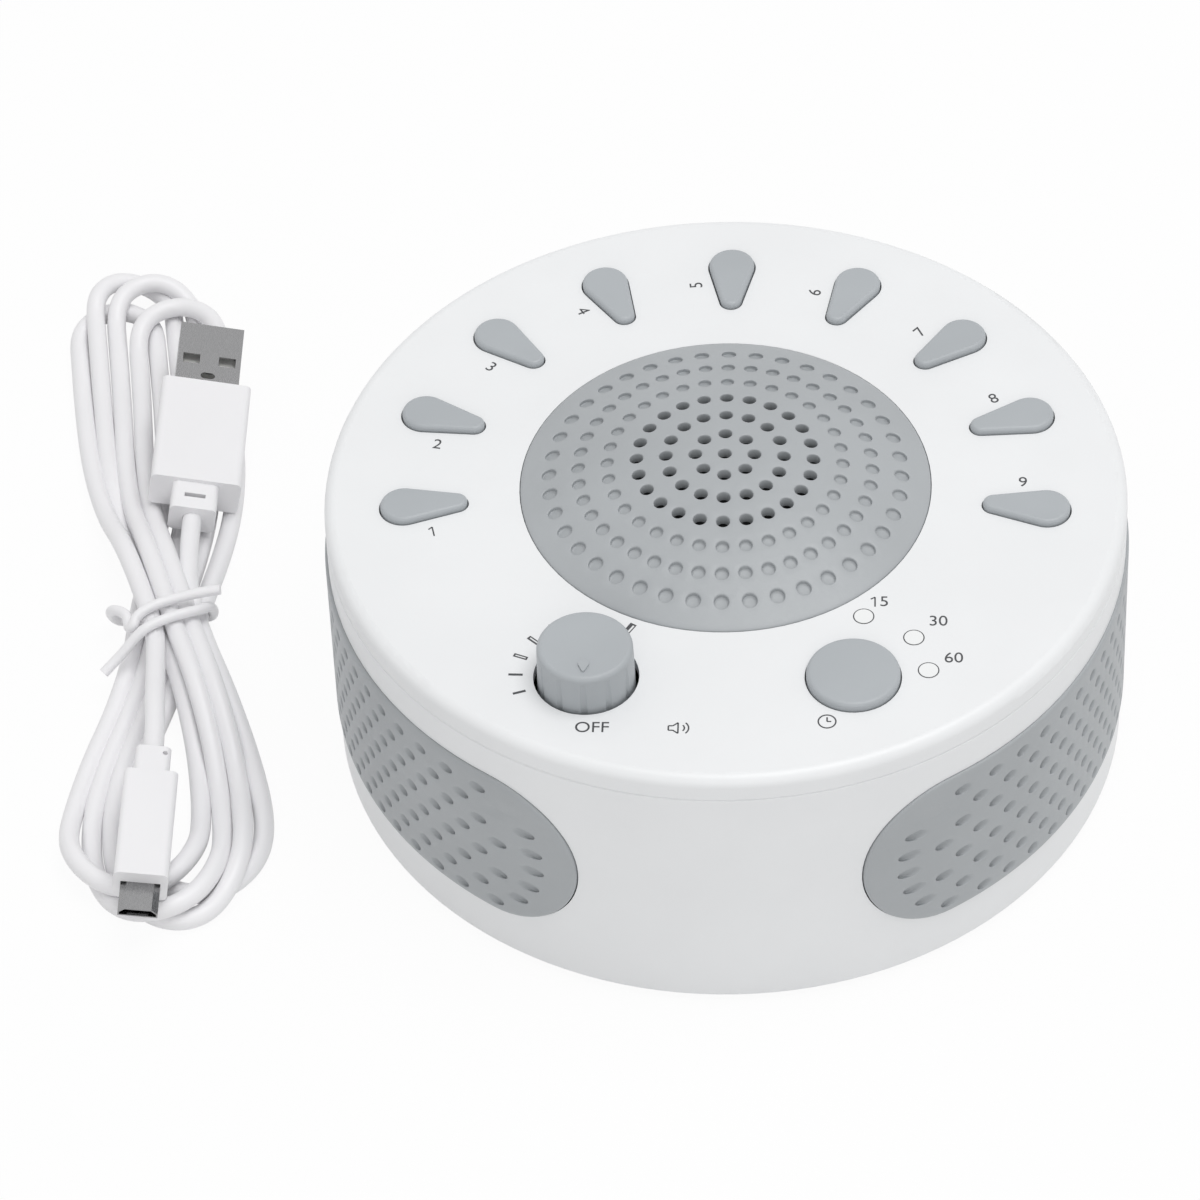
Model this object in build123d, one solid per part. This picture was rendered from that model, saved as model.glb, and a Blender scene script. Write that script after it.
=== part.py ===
from build123d import *
import os
from math import asin, cos, degrees, radians, sin, sqrt, tan

# Round table-top sound machine. Units are millimetres. +Z is up, the front (volume
# knob and timer key) faces -Y, and the origin is on the table under the centre of
# the machine. Its USB power cable lies tied in a hank on the table at its left.

# ---------------------------------------------------------------- casing sizes
base_radius = 70.0       # outside of the side wall at its bottom edge
wall_taper = 0.7         # radius lost from the bottom edge up to the top face
side_wall = 2.7          # thickness of the side wall at its bottom edge
top_wall = 2.2           # thickness of the top face
foot_height = 1.5        # feet hold the bottom edge this far off the table
housing_height = 48.9    # bottom edge up to the parting line
skirt_height = 4.6       # parting line up to the top face
edge_radius = 2.0        # rounding of the top face's edge
seam_chamfer = 0.25      # small chamfer on both sides of the parting line
lip_height = 1.4         # tongue of the lower housing inside the cover's skirt
lip_wall = 1.25          # thickness of that tongue
lip_gap = 0.25           # room between tongue and skirt

# ------------------------------------------------------------------ side grilles
grille_height = 33.3     # height of the oval side openings
grille_centre = 27.7     # their middle, below the top face
grille_half_span = 70.0  # degrees from the machine's side to each pointed end
grille_proud = 0.5       # side grille stands out of the wall
grille_edge = 0.4        # rounding of the side grille's edge
panel_gap = 0.12         # room round each grille in its opening
backing = 1.3            # flange of a side grille behind the wall: thickness and reach
side_dimple_radius = 1.0
side_dimple_depth = 1.0  # measured along X, the way the dimples are moulded
side_row_counts = (27, 28, 27, 28, 27, 28, 27, 24)
side_row_inset = 6.84    # along Y, from the opening's pointed ends to the ends of the longest rows
side_row_pitch = 3.86
side_row_shift = -1.0    # middle of the rows, from the opening's middle
# dimples that follow the rounded ends: along Y from the pointed end, height from the opening's middle
end_dimples = ((5.63, 10.3), (4.13, 6.3), (3.53, 1.9), (3.43, -2.4),
               (3.83, -6.8), (4.83, -10.9), (7.33, -14.2), (11.73, -14.6))

# ----------------------------------------------------------------- centre grille
dome_base = 35.45        # radius of the domed centre grille
dome_rim = 0.2           # its rim above the top face
dome_rise = 7.15         # its crown above the rim
dome_wall = 2.0          # thickness
dome_flange = 1.9        # flange under the top face: reach
dome_flange_wall = 1.8   # and thickness
dome_edge = 0.3          # chamfer of the rim
hole_pitch = 5.07        # distance between the rings of holes
ring_counts = (8, 16, 24, 32, 40, 40)
open_rings = 3           # inner rings that are holes, with one hole at the crown
hole_diameter = 2.3
dimple_diameters = (2.2, 2.3, 2.5)
dimple_depth = 0.9

# -------------------------------------------------------------- keys and switches
key_count = 9
key_pitch = 24.1         # degrees between sound keys, centred on the rear
key_wide_radius = 4.05   # wide end, towards the wall
key_narrow_radius = 1.85
key_length = 9.1         # between the middles of its two ends
key_shift = 0.225        # key inside the middle of the ring between centre grille and wall
key_gap = 0.25           # room round a key in its opening
key_rise = 1.2           # key above the top face
key_round = 0.7          # rounding of its top edge
key_flange = 0.9         # flange that keeps it under the top face: reach
key_flange_wall = 1.5    # and thickness
key_stop_gap = 0.15      # flange to ceiling, key up
key_stem_radius = 1.6
key_travel = 0.6
switch_size = 6.0
switch_height = 3.5
plunger_radius = 1.7
plunger_rise = 1.5       # plunger above its switch
plunger_gap = 0.1        # room round the plunger
plunger_seat = 1.2       # length of plunger inside the switch

control_shift = 1.525    # knob and timer key inside the middle of that ring
control_turn = 25.9      # degrees from the front: the knob at the left, the timer key at the right
timer_radius = 7.85
timer_rise = 1.8
timer_crown = 0.35       # its top is this much higher in the middle
timer_round = 0.8
timer_gap = 0.25

# -------------------------------------------------------------------- volume knob
knob_radius = 8.3        # at its foot
knob_draft = 0.3         # radius lost up to the top
knob_gap = 0.55          # room round the knob in its opening
knob_rise = 7.5          # top of the knob above the top face
knob_drop = 4.8          # foot of the knob below the top face
knob_round = 0.9         # rounding of its top edge
knob_wall = 1.6
flute_count = 12
flute_radius = 0.8
flute_depth = 0.4
hub_radius = 4.8
shaft_radius = 3.0
shaft_flat = 0.8         # depth of the flat on the shaft
shaft_fit = 0.04         # running room of the shaft in the potentiometer
pointer_reach = 5.0      # raised pointer from the knob's axis
pointer_height = 0.35
pot_size = 11.0
pot_height = 4.2
pot_collar_radius = 4.6
pot_collar_height = 0.8

# ------------------------------------------------------------------ timer lights
lens_radius = 1.6
lens_gap = 0.1
lens_rise = 0.05
lens_flange = 0.5
lens_flange_wall = 1.4
lens_foot = 1.0          # light pipe's foot above its lamp
lamp_length = 2.0
lamp_width = 1.2
lamp_height = 0.8
lens_room = 0.25         # first light's flange to the centre grille's flange
lens_turn = 37.0         # degrees of the first light from the front
lens_offsets = ((10.1, 9.1), (12.5, 1.6))   # the other two, from the timer key's axis

# -------------------------------------------------------------------- main board
board_drop = 8.3         # ceiling down to the board's upper face
board_wall = 1.6
board_margin = 2.6       # board beyond the switches
speaker_room = 3.6       # board's inner edge round the loudspeaker
board_post_radius = 2.4
board_post_inset = 5.1   # board posts inside the switches' circle
board_post_angles = (29.75, 102.05, 174.35)
front_post_inset = 6.5   # front board post from the board's inner edge
chip_size = (10.0, 4.0, 1.6)
chip_setback = 8.5       # chip in front of that post

# ---------------------------------------------------------------- screws and posts
case_post_radius = 3.25
case_post_inset = 6.6    # posts' axes inside the wall
post_gap = 0.5           # board round the posts
front_post_turn = 48.0   # front case posts, from the front towards the sides
case_screw_radius = 1.5
case_screw_bite = 10.0   # length of screw in the post
head_radius = 2.8
head_height = 1.9
screw_fit = 0.03         # room of a screw in the hole that it threads into
small_screw_radius = 0.95
small_head_radius = 1.8
small_head_height = 1.2
small_bite = 4.5
pass_gap = 0.25          # room of a screw in a plain hole
head_seat_wall = 2.2     # boss between the head of a case screw and its post

# ------------------------------------------------------------------ bottom cover
cover_wall = 2.4
cover_inset = 0.5        # bottom cover above the wall's bottom edge
cover_gap = 0.2
boss_radius = 4.5
boss_height = 4.6        # above the cover's inner face
ledge_wall = 1.6         # ledge of the lower housing on which the cover seats
ledge_reach = 1.9
rib_wall = 1.2
rib_height = 2.6
rib_inset = 18.6         # ribs' ends inside the wall
foot_radius = 6.0
foot_inset = 17.3        # feet's axes inside the wall
foot_recess = 0.6
foot_fit = 0.1
foot_chamfer = 0.5

# ------------------------------------------------------------------- loudspeaker
speaker_radius = 32.4
speaker_flange = 1.2
speaker_drop = 3.3       # ceiling down to the flange's upper face
speaker_screw_inset = 2.6
speaker_rim = 6.0        # width of the flange
speaker_depth = 13.2     # flange's upper face down to the frame's back plate
frame_wall = 1.2
frame_back = 14.5        # radius of the frame's back plate
frame_windows = 4
window_width = 15.0
window_low = 2.2         # windows above the back plate
window_high = 1.4        # and below the flange
surround_width = 5.4
surround_lip = 0.8       # surround's lip on the flange
surround_wall = 0.6
cone_wall = 0.6
cone_depth = 6.5
cap_radius = 8.0
cap_rise = 2.6
magnet_radius = 17.5
magnet_height = 6.5
pole_plate = 1.8
yoke_radius = 16.5

# ------------------------------------------------------------- power inlet, wires
inlet_board = (20.0, 15.0, 1.6)
inlet_post_height = 5.1
inlet_bite = 3.5         # length of screw in a post of the power board
inlet_overhang = 1.5     # socket's rear end behind the board's rear edge
inlet_post_radius = 2.0
inlet_post_x = 7.0
inlet_width = 7.5
inlet_height = 2.6
inlet_depth = 5.6
inlet_set_back = 0.2     # socket's mouth behind the wall's inner face
inlet_slot = (11.8, 7.4) # recess in the rear wall for the plug's grip
inlet_corner = 2.0       # rounding of the recess's corners
wire_radius = 0.6
wire_pitch = 1.6
tag_height = 5.0         # loudspeaker's wires leave its magnet this far above the back plate
tag_reach = 8.0
speaker_landing = 4.0    # they meet the main board this far from its inner edge
speaker_wire_bend = 3.0
power_root = 5.0         # power wires in front of the power board's middle
power_rise = 9.0         # height of each of their two steps
power_landing = 5.5
power_wire_bend = 4.0

# ------------------------------------------------------------------- power cable
cord_diameter = 3.6
cord_sunk = 3.0          # length of cord inside a plug
hank_x = -106.0          # the hank's own origin
hank_y = 23.0
hank_turn = 9.4          # degrees from +Y, anticlockwise
lower_lobe = (-2.0, -60.7, 19.1)   # round end: middle across and along the hank, and radius
upper_lobe = (2.8, 72.3, 15.4)
fold_length = 18.0       # end of a lobe where its turns cross and lie two high
tie_across = 1.0         # middle of the tie
tie_along = -10.5
waist_width = 16.4       # bundle at the tie
waist_length = 24.0
waist_height = 10.0      # above the tie's wire
waist_upper = 22.0       # bundle's slopes reach this far from the tie
waist_lower = 34.0
waist_chamfer = 2.0
tie_radius = 0.95
tie_gap = 0.1
tie_bend = 1.3
tie_knot = 4.5           # knot left of the bundle's middle
tie_tails = ((221.0, 9.5), (-13.0, 14.0))   # direction and length of the tie's two ends
usb_foot = (-100.35, 37.07)    # foot of the USB-A plug's strain relief
usb_lift = 5.3                 # its axis above one layer of cord
usb_tilt = (0.5, 4.0, 12.0)    # turn from +Y, mouth up, right side down, in degrees
micro_foot = (-100.93, -24.59) # foot of the micro plug's strain relief
micro_lift = 4.3               # its axis above two layers of cord
micro_tilt = (181.5, -0.5, -9.0)
shell_sunk = 6.0         # metal shells inside their moulds
usb_shell = (12.0, 15.8, 4.5)
usb_sheet = 0.35
usb_window = (3.2, 2.4)
usb_window_spread = 3.4  # windows left and right of the middle
usb_window_reach = 6.8   # from the mould
usb_slot = (2.7, 1.5)
usb_slot_reach = 2.8
usb_tongue = 1.9
usb_mould = (16.7, 25.0, 8.0)
usb_relief = (8.6, 6.3, 6.4)
micro_shell = (6.85, 6.0, 1.9)
micro_sheet = 0.25
micro_bevel = 1.1
micro_tongue = (3.6, 0.6)
micro_mould = (9.4, 24.0, 6.6)
micro_relief = (6.2, 6.0, 5.6)
mould_round = 1.1
mould_fit = 0.02
relief_slot = (3.9, 0.9)
relief_hole = 0.45
usb_straight = 4.5       # cord straight out of the plug
usb_lead_end = (4.6, 9.5, 8.2)       # its end in the bundle, from the tie
micro_straight = 9.0
micro_lead_end = (-1.5, -9.5, 8.2)

# ------------------------------------------------------------------ worked heights
bottom_edge = foot_height
parting_z = bottom_edge + housing_height
top_z = parting_z + skirt_height
ceiling_z = top_z - top_wall
cavity_radius = base_radius - side_wall
cover_low = bottom_edge + cover_inset
cover_high = cover_low + cover_wall
boss_z = cover_high + boss_height
board_z = ceiling_z - board_drop
switch_z = board_z + switch_height
plunger_z = switch_z + plunger_rise
grille_z = top_z - grille_centre
speaker_z = ceiling_z - speaker_drop
inlet_z = cover_high + inlet_post_height + inlet_board[2]
rim_z = top_z + dome_rim
dome_radius = (dome_base ** 2 + dome_rise ** 2) / (2 * dome_rise)
dome_centre_z = rim_z + dome_rise - dome_radius
frame_low = speaker_z - speaker_depth
case_seat_z = boss_z - head_seat_wall

# ------------------------------------------------------------------- worked places
ring_middle = (dome_base + dome_flange + cavity_radius) / 2
key_middle = ring_middle - key_shift
key_wide_place = key_middle + (key_length - key_wide_radius + key_narrow_radius) / 2
key_narrow_place = key_wide_place - key_length
control_circle = ring_middle - control_shift
control_x = control_circle * sin(radians(control_turn))
control_y = -control_circle * cos(radians(control_turn))
board_outer = key_middle + switch_size / 2 + board_margin
board_inner = speaker_radius + speaker_room
front_post_y = -board_inner - front_post_inset
chip_y = front_post_y - chip_setback
case_post_circle = cavity_radius - case_post_inset
foot_circle = cavity_radius - foot_inset
speaker_mouth = speaker_radius - speaker_rim
surround_inner = speaker_mouth - surround_width
inlet_y = cavity_radius - inlet_set_back - inlet_depth + inlet_overhang - inlet_board[1] / 2

FLAT = (Align.CENTER, Align.CENTER, Align.MIN)
ON_END = (Align.CENTER, Align.MIN, Align.CENTER)


# ------------------------------------------------------------------------ helpers
def disc(radius, low, high, place=(0.0, 0.0)):
    """Upright cylinder between two heights."""
    return Pos(place[0], place[1], low) * Cylinder(radius, high - low, align=FLAT)


def block(size, low, place=(0.0, 0.0)):
    """Upright box standing on a height."""
    return Pos(place[0], place[1], low) * Box(*size, align=FLAT)


def turned(points):
    """Solid turned about the machine's axis from (radius, height) corners."""
    outline = Polyline([(radius, 0, height) for radius, height in points], close=True)
    return revolve(make_face(outline), Axis.Z)


def polar(radius, angle):
    return (radius * cos(radians(angle)), radius * sin(radians(angle)))


def wall_radius(height):
    """Outside of the tapered wall at a height."""
    return base_radius - wall_taper * (height - bottom_edge) / (top_z - bottom_edge)


def dome_height(radius, inset=0.0):
    """Height of the dome's skin, or of a skin inside it, at a radius."""
    return dome_centre_z + sqrt((dome_radius - inset) ** 2 - radius ** 2)


def key_angle(number):
    """Direction of a sound key, counted clockwise from the left."""
    return 90.0 + key_pitch * ((key_count - 1) / 2 - number)


def teardrop(grow=0.0):
    """Key outline on the +X side, wide end outward."""
    wide = Pos(key_wide_place, 0) * Circle(key_wide_radius + grow)
    narrow = Pos(key_narrow_place, 0) * Circle(key_narrow_radius + grow)
    return make_hull(wide.edges() + narrow.edges())


def stadium(side, grow=0.0):
    """Cutter for an oval opening in the wall; side is +1 at the right, -1 at the left."""
    half = grille_height / 2
    end_angle = grille_half_span - degrees(asin(half / base_radius))
    inner, outer = cavity_radius - 8.0, base_radius + 6.0
    low, high = grille_z - half - grow, grille_z + half + grow
    sector = Cylinder(outer, high - low, arc_size=2 * end_angle, align=None)
    tool = Pos(0, 0, low) * Rot(0, 0, -end_angle) * sector - disc(inner, low - 1, high + 1)
    for angle in (-end_angle, end_angle):
        end = Pos(inner, 0, grille_z) * Rot(0, 90, 0) * Cylinder(half + grow, outer - inner, align=FLAT)
        tool += Rot(0, 0, angle) * end
    return tool if side > 0 else Rot(0, 0, 180) * tool


def case_places():
    """Case posts: two between sound keys at the rear, two at the front."""
    angles = (90 - 1.5 * key_pitch, 90 + 1.5 * key_pitch, 270 - front_post_turn, 270 + front_post_turn)
    return [polar(case_post_circle, angle) for angle in angles]


def board_places():
    rear = [polar(key_middle - board_post_inset, angle) for angle in board_post_angles]
    return rear + [(0.0, front_post_y)]


def lens_places():
    """Timer lights: one beside the centre grille, two beside the timer key."""
    first = dome_base + dome_flange + lens_room + lens_radius + lens_flange
    return [polar(first, 270 + lens_turn)] + [(control_x + x, control_y + y) for x, y in lens_offsets]


def speaker_places():
    circle = speaker_radius - speaker_screw_inset
    return [polar(circle, 45 + 90 * quarter) for quarter in range(4)]


def screw(place, seat, bite, radius, cap_radius, cap_height):
    """Pan-head screw driven upward: the head lies under the seat."""
    x, y = place
    return disc(radius, seat - 0.01, seat + bite, place) + disc(cap_radius, seat - cap_height, seat, (x, y))


# ------------------------------------------------------------------------- casing
def top_cover():
    skirt = wall_radius(parting_z)
    cover = turned([
        (0, ceiling_z), (cavity_radius, ceiling_z), (cavity_radius, parting_z),
        (skirt - seam_chamfer, parting_z), (wall_radius(parting_z + seam_chamfer), parting_z + seam_chamfer),
        (wall_radius(top_z), top_z), (0, top_z)])
    rim = cover.edges().filter_by(GeomType.CIRCLE).sort_by(Axis.Z)[-1]
    cover = fillet(rim, edge_radius)
    for place in case_places():
        cover += disc(case_post_radius, boss_z, ceiling_z + 0.5, place)
    for place in board_places():
        cover += disc(board_post_radius, board_z, ceiling_z + 0.5, place)
    low, high = ceiling_z - 1, top_z + 1
    cutters = [disc(dome_base + panel_gap, low, high)]
    cutters.append(disc(knob_radius + knob_gap, low, high, (-control_x, control_y)))
    cutters.append(disc(timer_radius + timer_gap, low, high, (control_x, control_y)))
    cutters += [disc(lens_radius + lens_gap, low, high, place) for place in lens_places()]
    opening = Pos(0, 0, low) * extrude(teardrop(key_gap), high - low)
    cutters += [Rot(0, 0, key_angle(number)) * opening for number in range(key_count)]
    pilot = case_screw_radius + screw_fit
    cutters += [disc(pilot, boss_z - 1, boss_z + case_screw_bite + 2, place) for place in case_places()]
    pilot = small_screw_radius + screw_fit
    cutters += [disc(pilot, board_z - 1, board_z + small_bite + 1, place) for place in board_places()]
    return cover - cutters


def lower_housing():
    lip = cavity_radius - lip_gap
    seam = parting_z - seam_chamfer
    foot = base_radius - seam_chamfer
    ledge = cavity_radius - ledge_reach
    slope = lip_wall + lip_gap
    wall = turned([
        (cavity_radius, bottom_edge), (foot, bottom_edge), (base_radius, bottom_edge + seam_chamfer),
        (wall_radius(seam), seam), (wall_radius(seam) - seam_chamfer, parting_z), (lip, parting_z),
        (lip, parting_z + lip_height), (lip - lip_wall, parting_z + lip_height),
        (lip - lip_wall, parting_z - 2.5), (cavity_radius, parting_z - 2.5 - slope),
        (cavity_radius, cover_high + ledge_wall + ledge_reach / 2), (ledge, cover_high + ledge_wall),
        (ledge, cover_high), (cavity_radius, cover_high)])
    wall -= [stadium(1), stadium(-1)]
    slot = RectangleRounded(*inlet_slot, inlet_corner)
    slot_z = inlet_z + inlet_height / 2
    wall -= Pos(0, cavity_radius - 2, slot_z) * Rot(-90, 0, 0) * extrude(slot, side_wall + 4)
    return wall


def side_grille(side):
    face_low, face_high = bottom_edge, top_z
    face = turned([
        (cavity_radius - backing, face_low), (wall_radius(face_low) + grille_proud, face_low),
        (wall_radius(face_high) + grille_proud, face_high), (cavity_radius - backing, face_high)])
    back = disc(cavity_radius - 0.02, face_low, face_high)
    back -= disc(cavity_radius - backing, face_low - 1, face_high + 1)
    panel = face & stadium(side, -panel_gap)
    outer_rim = [edge for edge in panel.edges()
                 if all(sqrt(v.X ** 2 + v.Y ** 2) > cavity_radius + 1 for v in edge.vertices())]
    panel = fillet(outer_rim, grille_edge)
    panel += back & stadium(side, backing)
    return panel - [side_dimple(side, *place) for place in side_dimple_places()]


def side_dimple_places():
    """Staggered rows and the two rounded ends, as (y, height): equal steps along Y, as seen from the side."""
    tip = (wall_radius(grille_z) + grille_proud) * sin(radians(grille_half_span))
    pitch = 2 * (tip - side_row_inset) / (max(side_row_counts) - 1)
    places = []
    for row, count in enumerate(side_row_counts):
        height = grille_z + side_row_shift + ((len(side_row_counts) - 1) / 2 - row) * side_row_pitch
        places += [((step - (count - 1) / 2) * pitch, height) for step in range(count)]
    for inset, rise in end_dimples:
        places += [(tip - inset, grille_z + rise), (inset - tip, grille_z + rise)]
    return places


def side_dimple(side, y, height):
    """Blind round cutter along X into a side grille's face."""
    x = sqrt((wall_radius(height) + grille_proud) ** 2 - y ** 2)
    cutter = Rot(0, 90, 0) * Cylinder(side_dimple_radius, 10, align=FLAT)
    cutter = Pos(x - side_dimple_depth, y, height) * cutter
    return cutter if side > 0 else Rot(0, 0, 180) * cutter


def bottom_cover():
    plate = disc(cavity_radius - cover_gap, cover_low, cover_high)
    for place in case_places():
        plate += disc(boss_radius, cover_high - 0.5, boss_z, place)
    for x in (-inlet_post_x, inlet_post_x):
        plate += disc(inlet_post_radius, cover_high - 0.5, cover_high + inlet_post_height, (x, inlet_y))
    reach = 2 * (cavity_radius - rib_inset)
    for angle in (0, 60, 120):
        plate += Rot(0, 0, angle) * block((reach, rib_wall, rib_height + 0.5), cover_high - 0.5)
    cutters = []
    for place in case_places():
        cutters.append(disc(head_radius + pass_gap, cover_low - 1, case_seat_z, place))
        cutters.append(disc(case_screw_radius + pass_gap, cover_low, boss_z + 1, place))
    for place in foot_places():
        cutters.append(disc(foot_radius + foot_fit, cover_low - 1, cover_low + foot_recess, place))
    pilot = small_screw_radius + screw_fit
    top = cover_high + inlet_post_height
    for x in (-inlet_post_x, inlet_post_x):
        cutters.append(disc(pilot, top - inlet_bite - 0.5, top + 1, (x, inlet_y)))
    return plate - cutters


def foot_places():
    return [polar(foot_circle, 45 + 90 * quarter) for quarter in range(4)]


def rubber_foot(place):
    foot = disc(foot_radius, 0, cover_low + foot_recess, place)
    return chamfer(foot.edges().sort_by(Axis.Z)[0], foot_chamfer)


# ------------------------------------------------------------------ centre grille
def ring_places(ring):
    """Hole centres of a ring, numbered from 1 at the crown outward."""
    count = ring_counts[ring - 1]
    return [polar(ring * hole_pitch, 360 * step / count) for step in range(count)]


def centre_grille():
    ball = Pos(0, 0, dome_centre_z) * Sphere(dome_radius)
    low = ceiling_z - dome_flange_wall
    dome = ball & disc(dome_base, low, rim_z + dome_rise + 1)
    circles = dome.edges().filter_by(GeomType.CIRCLE)
    rim = [edge for edge in circles if abs(edge.center().Z - rim_z) < 0.01]
    dome = chamfer(rim, dome_edge)
    inside = Pos(0, 0, dome_centre_z) * Sphere(dome_radius - dome_wall)
    dome -= inside & disc(dome_base - dome_wall, low - 1, rim_z + dome_rise)
    dome += disc(dome_base + dome_flange, low, ceiling_z) - disc(dome_base - 0.5, low - 1, ceiling_z + 1)
    post_top = dome_height(speaker_radius - speaker_screw_inset) - dome_wall / 2
    dome += [disc(board_post_radius, speaker_z, post_top, place) for place in speaker_places()]
    pilot, pilot_top = small_screw_radius + screw_fit, speaker_z + small_bite + 0.5
    cutters = [disc(pilot, speaker_z - 1, pilot_top, place) for place in speaker_places()]
    hole, high = hole_diameter / 2, rim_z + dome_rise + 1
    cutters += [disc(hole, rim_z, high)]
    for ring in range(1, open_rings + 1):
        cutters += [disc(hole, rim_z, high, place) for place in ring_places(ring)]
    for ring, diameter in enumerate(dimple_diameters, open_rings + 1):
        floor = dome_height(ring * hole_pitch) - dimple_depth
        cutters += [disc(diameter / 2, floor, high, place) for place in ring_places(ring)]
    return dome - cutters


# ----------------------------------------------------------------- keys, switches
def sound_key(number):
    cap = Pos(0, 0, ceiling_z - 0.5) * extrude(teardrop(), top_z + key_rise - ceiling_z + 0.5)
    cap = fillet(cap.edges().group_by(Axis.Z)[-1], key_round)
    flange_top = ceiling_z - key_stop_gap
    flange = Pos(0, 0, flange_top - key_flange_wall) * extrude(teardrop(key_flange), key_flange_wall)
    stem = disc(key_stem_radius, plunger_z, flange_top, (key_middle, 0))
    return Rot(0, 0, key_angle(number)) * (cap + flange + stem)


def plunger(place):
    return disc(plunger_radius, switch_z - plunger_seat, plunger_z, place)


def switch_body(place, angle):
    body = block((switch_size, switch_size, switch_height), board_z)
    body = chamfer(body.edges().filter_by(Axis.Z), 0.5)
    well = plunger_seat + key_travel + plunger_gap * 2
    body -= disc(plunger_radius + plunger_gap, switch_z - well, switch_z + 1)
    return Pos(place[0], place[1], 0) * Rot(0, 0, angle) * body


def switch_bodies():
    bodies = [switch_body(polar(key_middle, key_angle(n)), key_angle(n)) for n in range(key_count)]
    return bodies + [switch_body((control_x, control_y), 0)]


def timer_key():
    place = (control_x, control_y)
    cap = disc(timer_radius, ceiling_z - 0.5, top_z + timer_rise + 1, place)
    crown_radius = (timer_radius ** 2 + timer_crown ** 2) / (2 * timer_crown)
    cap &= Pos(control_x, control_y, top_z + timer_rise - crown_radius) * Sphere(crown_radius)
    rings = [edge for edge in cap.edges() if edge.is_closed]
    cap = fillet(max(rings, key=lambda edge: edge.center().Z), timer_round)
    flange_top = ceiling_z - key_stop_gap
    cap += disc(timer_radius + key_flange, flange_top - key_flange_wall, flange_top, place)
    return cap + disc(key_stem_radius, plunger_z, flange_top, place)


# -------------------------------------------------------------------- volume knob
def shaft_section(grow=0.0):
    """Round section with one flat, which turns the knob."""
    radius = shaft_radius + grow
    flat = radius - shaft_flat
    return Circle(radius) & Pos(0, flat - 2 * radius) * Rectangle(4 * radius, 4 * radius)


def volume_knob():
    low, high = top_z - knob_drop, top_z + knob_rise
    profile = Polyline([
        (0, 0, low), (knob_radius, 0, low), (knob_radius - knob_draft, 0, high), (0, 0, high)], close=True)
    knob = revolve(make_face(profile), Axis.Z)
    crown = knob.edges().filter_by(GeomType.CIRCLE).sort_by(Axis.Z)[-1]
    knob = fillet(crown, knob_round)
    flute = disc(flute_radius, low - 1, high - knob_round - 0.4)
    flute_at = knob_radius + flute_radius - flute_depth
    knob -= [Pos(*polar(flute_at, 360 * n / flute_count)) * flute for n in range(flute_count)]
    hollow = disc(knob_radius - knob_wall, low - 1, high - 3) - disc(hub_radius, low - 2, high)
    knob -= hollow
    knob -= Pos(0, 0, low - 1) * extrude(shaft_section(0.02), high - 2.5 - low + 1)
    pointer = make_hull((Pos(0, 0.5) * Circle(0.9)).edges() + (Pos(0, -1.0) * Circle(0.25)).edges())
    knob += Pos(0, -pointer_reach, high - 0.1) * extrude(pointer, pointer_height + 0.1)
    return Pos(-control_x, control_y, 0) * knob


def pot_shaft():
    low = board_z + 1.2
    round_end = disc(shaft_radius, low, board_z + pot_height + pot_collar_height + 0.3)
    length = top_z + knob_rise - 2.7 - low
    shaft = round_end + Pos(0, 0, low) * extrude(shaft_section(), length)
    return Pos(-control_x, control_y, 0) * shaft


def potentiometer():
    body = block((pot_size, pot_size, pot_height), board_z)
    body = chamfer(body.edges().filter_by(Axis.Z), 0.8)
    body += disc(pot_collar_radius, board_z + pot_height - 0.1, board_z + pot_height + pot_collar_height)
    body -= disc(shaft_radius + shaft_fit, board_z + 1.0, board_z + pot_height + 2)
    for x in (-2.5, 0.0, 2.5):
        body += block((0.9, 1.4, 0.6), board_z, (x, pot_size / 2 + 0.5))
    return Pos(-control_x, control_y, 0) * body


# --------------------------------------------------------------- lights and board
def timer_lens(place):
    lens = disc(lens_radius, board_z + lamp_height + lens_foot, top_z + lens_rise, place)
    return lens + disc(lens_radius + lens_flange, ceiling_z - lens_flange_wall, ceiling_z, place)


def timer_lamp(place):
    return block((lamp_length, lamp_width, lamp_height), board_z, place)


def main_board():
    low, high = board_z - board_wall, board_z
    cutters = [disc(board_inner, low - 1, high + 1)]
    cutters += [disc(case_post_radius + post_gap, low - 1, high + 1, place) for place in case_places()]
    cutters += [disc(small_screw_radius + pass_gap, low - 1, high + 1, place) for place in board_places()]
    return disc(board_outer, low, high) - cutters


def audio_chip():
    chip = block((chip_size[0], chip_size[1], chip_size[2]), board_z, (0, chip_y))
    for step in range(8):
        x = (step - 3.5) * 1.2
        chip += block((0.45, chip_size[1] + 2.0, 0.35), board_z, (x, chip_y))
    return chip


# -------------------------------------------------------------------- loudspeaker
def speaker_frame():
    plate = speaker_z - speaker_flange
    frame = turned([
        (speaker_mouth, speaker_z), (speaker_radius, speaker_z), (speaker_radius, plate),
        (speaker_mouth + frame_wall, plate), (frame_back + frame_wall, frame_low),
        (cap_radius + 0.4, frame_low), (cap_radius + 0.4, frame_low + frame_wall),
        (frame_back, frame_low + frame_wall), (speaker_mouth, plate)])
    height = plate - frame_low - window_low - window_high
    window_place = (frame_back + speaker_radius / 2, 0)
    window = block((speaker_radius, window_width, height), frame_low + window_low, window_place)
    frame -= [Rot(0, 0, 360 * number / frame_windows) * window for number in range(frame_windows)]
    hole = small_screw_radius + pass_gap
    return frame - [disc(hole, plate - 1, speaker_z + 1, place) for place in speaker_places()]


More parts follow.
